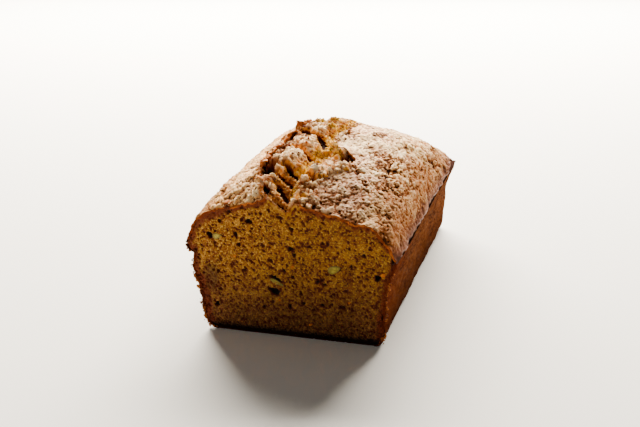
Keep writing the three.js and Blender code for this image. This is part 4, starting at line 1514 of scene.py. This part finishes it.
# %% Torn inside of the split
torn = Finish("torn_split", 0.65, 0.02)
tone = torn.mottled(4, 0.38, 0.62, (190, 116, 48), (230, 164, 78))
gold = torn.mottled(1.6, 0.4, 0.65, (204, 146, 8), (244, 200, 36))
tone = torn.blend(torn.between(torn.mark("golden"), 0.1, 0.7), tone, gold)
top = torn.mottled(15, 0.4, 0.62, (226, 172, 122), (252, 212, 160))
top = torn.flecked(top, 1.2, 0.44, 0.6, 0.7, (255, 230, 182), detail=4)
tone = torn.blend(torn.mark("baked"), tone, top)
tone = torn.stained(
    tone,
    # browner, with painted shade under the left torn edge
    ("browned_and_shaded", 0.2, 0.9, 0.0, 0.7, (150, 84, 44)),
    # painted highlight along the brinks of the blocks
    ("brink", 0.25, 0.9, 0.0, 0.85, (240, 166, 56)),
    # painted highlight on the knob tops
    ("relief", 0.34, 0.08, 0.0, 0.6, (252, 216, 148)),
    # painted shade between the knobs
    ("relief", 0.42, 0.7, 0.0, 0.75, (112, 60, 18)),
    ("shaded", 0.3, 0.95, 0.0, 0.25, (96, 58, 14)),
    # painted shade in the gaps and caves
    ("gap", 0.06, 0.4, 0.0, 1.0, (128, 58, 12)),
    ("gap", 0.35, 0.8, 0.0, 1.0, (50, 22, 8)),
    ("cave", 0.35, 0.8, 0.0, 1.0, (24, 9, 5)))
torn_split = torn.wear(tone, torn.bump(torn.noise(0.9), 0.45))

# %% [markdown]
# ## Crumb of the cut face
# The walls between the bubbles are golden and moist, browner low down, partly moister and partly painted
# shade, and reddish near the crust. The bubbles are painted reddish and then nearly black as shade, painted
# shade darkens the face towards the right, and its foot is nearly black with dark crust and a painted contact
# shadow. Light that soaks in gives real crumb its glow. Subsurface scattering could do that, but it is slow to
# render and lost in an export, so the colours carry it.

# %% Crumb of the cut face
crumb = Finish("open_crumb", 0.75, 0.2)
web = crumb.mottled(5, 0.36, 0.64, (148, 88, 24), (188, 128, 40))
web = crumb.flecked(web, 1.3, 0.52, 0.38, 0.75, (118, 56, 12))
web = crumb.flecked(web, 1.1, 0.52, 0.64, 0.7, (244, 192, 76))
web = crumb.stained(
    web,
    ("gummy", 0.2, 0.9, 0.0, 0.75, (88, 58, 18)),
    # painted shade, darker towards the right
    ("across", 0.0, 1.0, 0.0, 0.3, (104, 58, 14)))
low_web = crumb.mottled(1.0, 0.46, 0.64, (84, 46, 16), (140, 94, 46))
# browner low down, partly moister crumb and partly painted shade
web = crumb.blend(crumb.between(crumb.mark("height"), 0.66, 0.0, 0.0, 0.9), web, low_web)
tone = crumb.stained(
    web,
    ("rim", 0.16, 0.46, 0.92, 0.0, (110, 42, 14)),
    # painted shade in the bubbles, reddish and then nearly black
    ("bubble", 0.08, 0.36, 0.0, 1.0, (88, 32, 8)),
    ("bubble", 0.5, 0.95, 0.0, 1.0, (32, 17, 8)),
    # nearly black at the foot: dark crust and a painted contact shadow
    ("height", 0.07, 0.025, 0.0, 1.0, (26, 12, 5)))
open_crumb = crumb.wear(tone, crumb.bump(crumb.noise(0.6, 2), 0.25))

# %% [markdown]
# ## Cut seeds, bits of pumpkin and crumbs
# These are a few millimetres across, so a flat colour would nearly do. But a cut seed has a thin dark skin
# round a pale green middle, and a bit of pumpkin is darker at its edge, and that is what tells them apart.

# %% Cut seeds, bits of pumpkin and crumbs
kernel = Finish("pumpkin_seed", 0.5, 0.3)
tone = kernel.mottled(1.6, 0.4, 0.6, (150, 128, 26), (190, 168, 56))
tone = kernel.stained(
    tone,
    ("skin", 0.3, 0.8, 0.0, 0.7, (120, 106, 34)),
    ("skin", 0.86, 0.97, 0.0, 1.0, (84, 66, 16)))
pumpkin_seed = kernel.wear(tone, kernel.bump(kernel.noise(0.5, 2), 0.1))
flesh = Finish("pumpkin_bit", 0.6, 0.1)
tone = flesh.mottled(1.2, 0.4, 0.6, (196, 104, 22), (226, 146, 44))
tone = flesh.stained(tone, ("skin", 0.4, 0.95, 0.0, 0.85, (140, 68, 14)))
pumpkin_bit = flesh.wear(tone, flesh.bump(flesh.noise(0.5, 2), 0.15))
loose = Finish("loose_crumb", 0.75, 0.2)
tone = loose.mottled(2.5, 0.42, 0.58, (104, 46, 14), (164, 94, 32))
loose_crumb = loose.wear(tone, loose.bump(loose.noise(0.5, 2), 0.3))

# %% Grow the crumbs
crumbs = grown(crumbs, crumb_tree(loose_crumb), CRUMB_INPUTS)
crumb_points = np.empty(len(crumbs.data.vertices) * 3)
crumbs.data.vertices.foreach_get("co", crumb_points)
print("lowest crumb", round(crumb_points[2::3].min() * 1000, 2), "mm above the floor")

# %% [markdown]
# ## Hand the pieces over
# Every piece stands for the one solid of the imported model and rides on its one body. The finishes are put on
# last, by name, so that this table shows at a glance what the loaf is made of.

# %% Hand every piece its finish and its place, with its slot name listed beside it
for piece, finish, slot in ((crust_left, baked_crust, "crust"), (crust_right, baked_crust, "crust"),
                            (split_lining, torn_split, "split"), (tin_crust, tin_side, "tin_crust"),
                            (bottom_crust, tin_side, "tin_crust"), (cut_face, open_crumb, "crumb"),
                            (pumpkin_seeds, pumpkin_seed, "crumb"), (pumpkin_bits, pumpkin_bit, "crumb"),
                            (crumbs, None, "crumb")):
    if finish is not None:
        piece.data.materials.append(finish)
    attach(piece, "root")
    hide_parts("loaf")
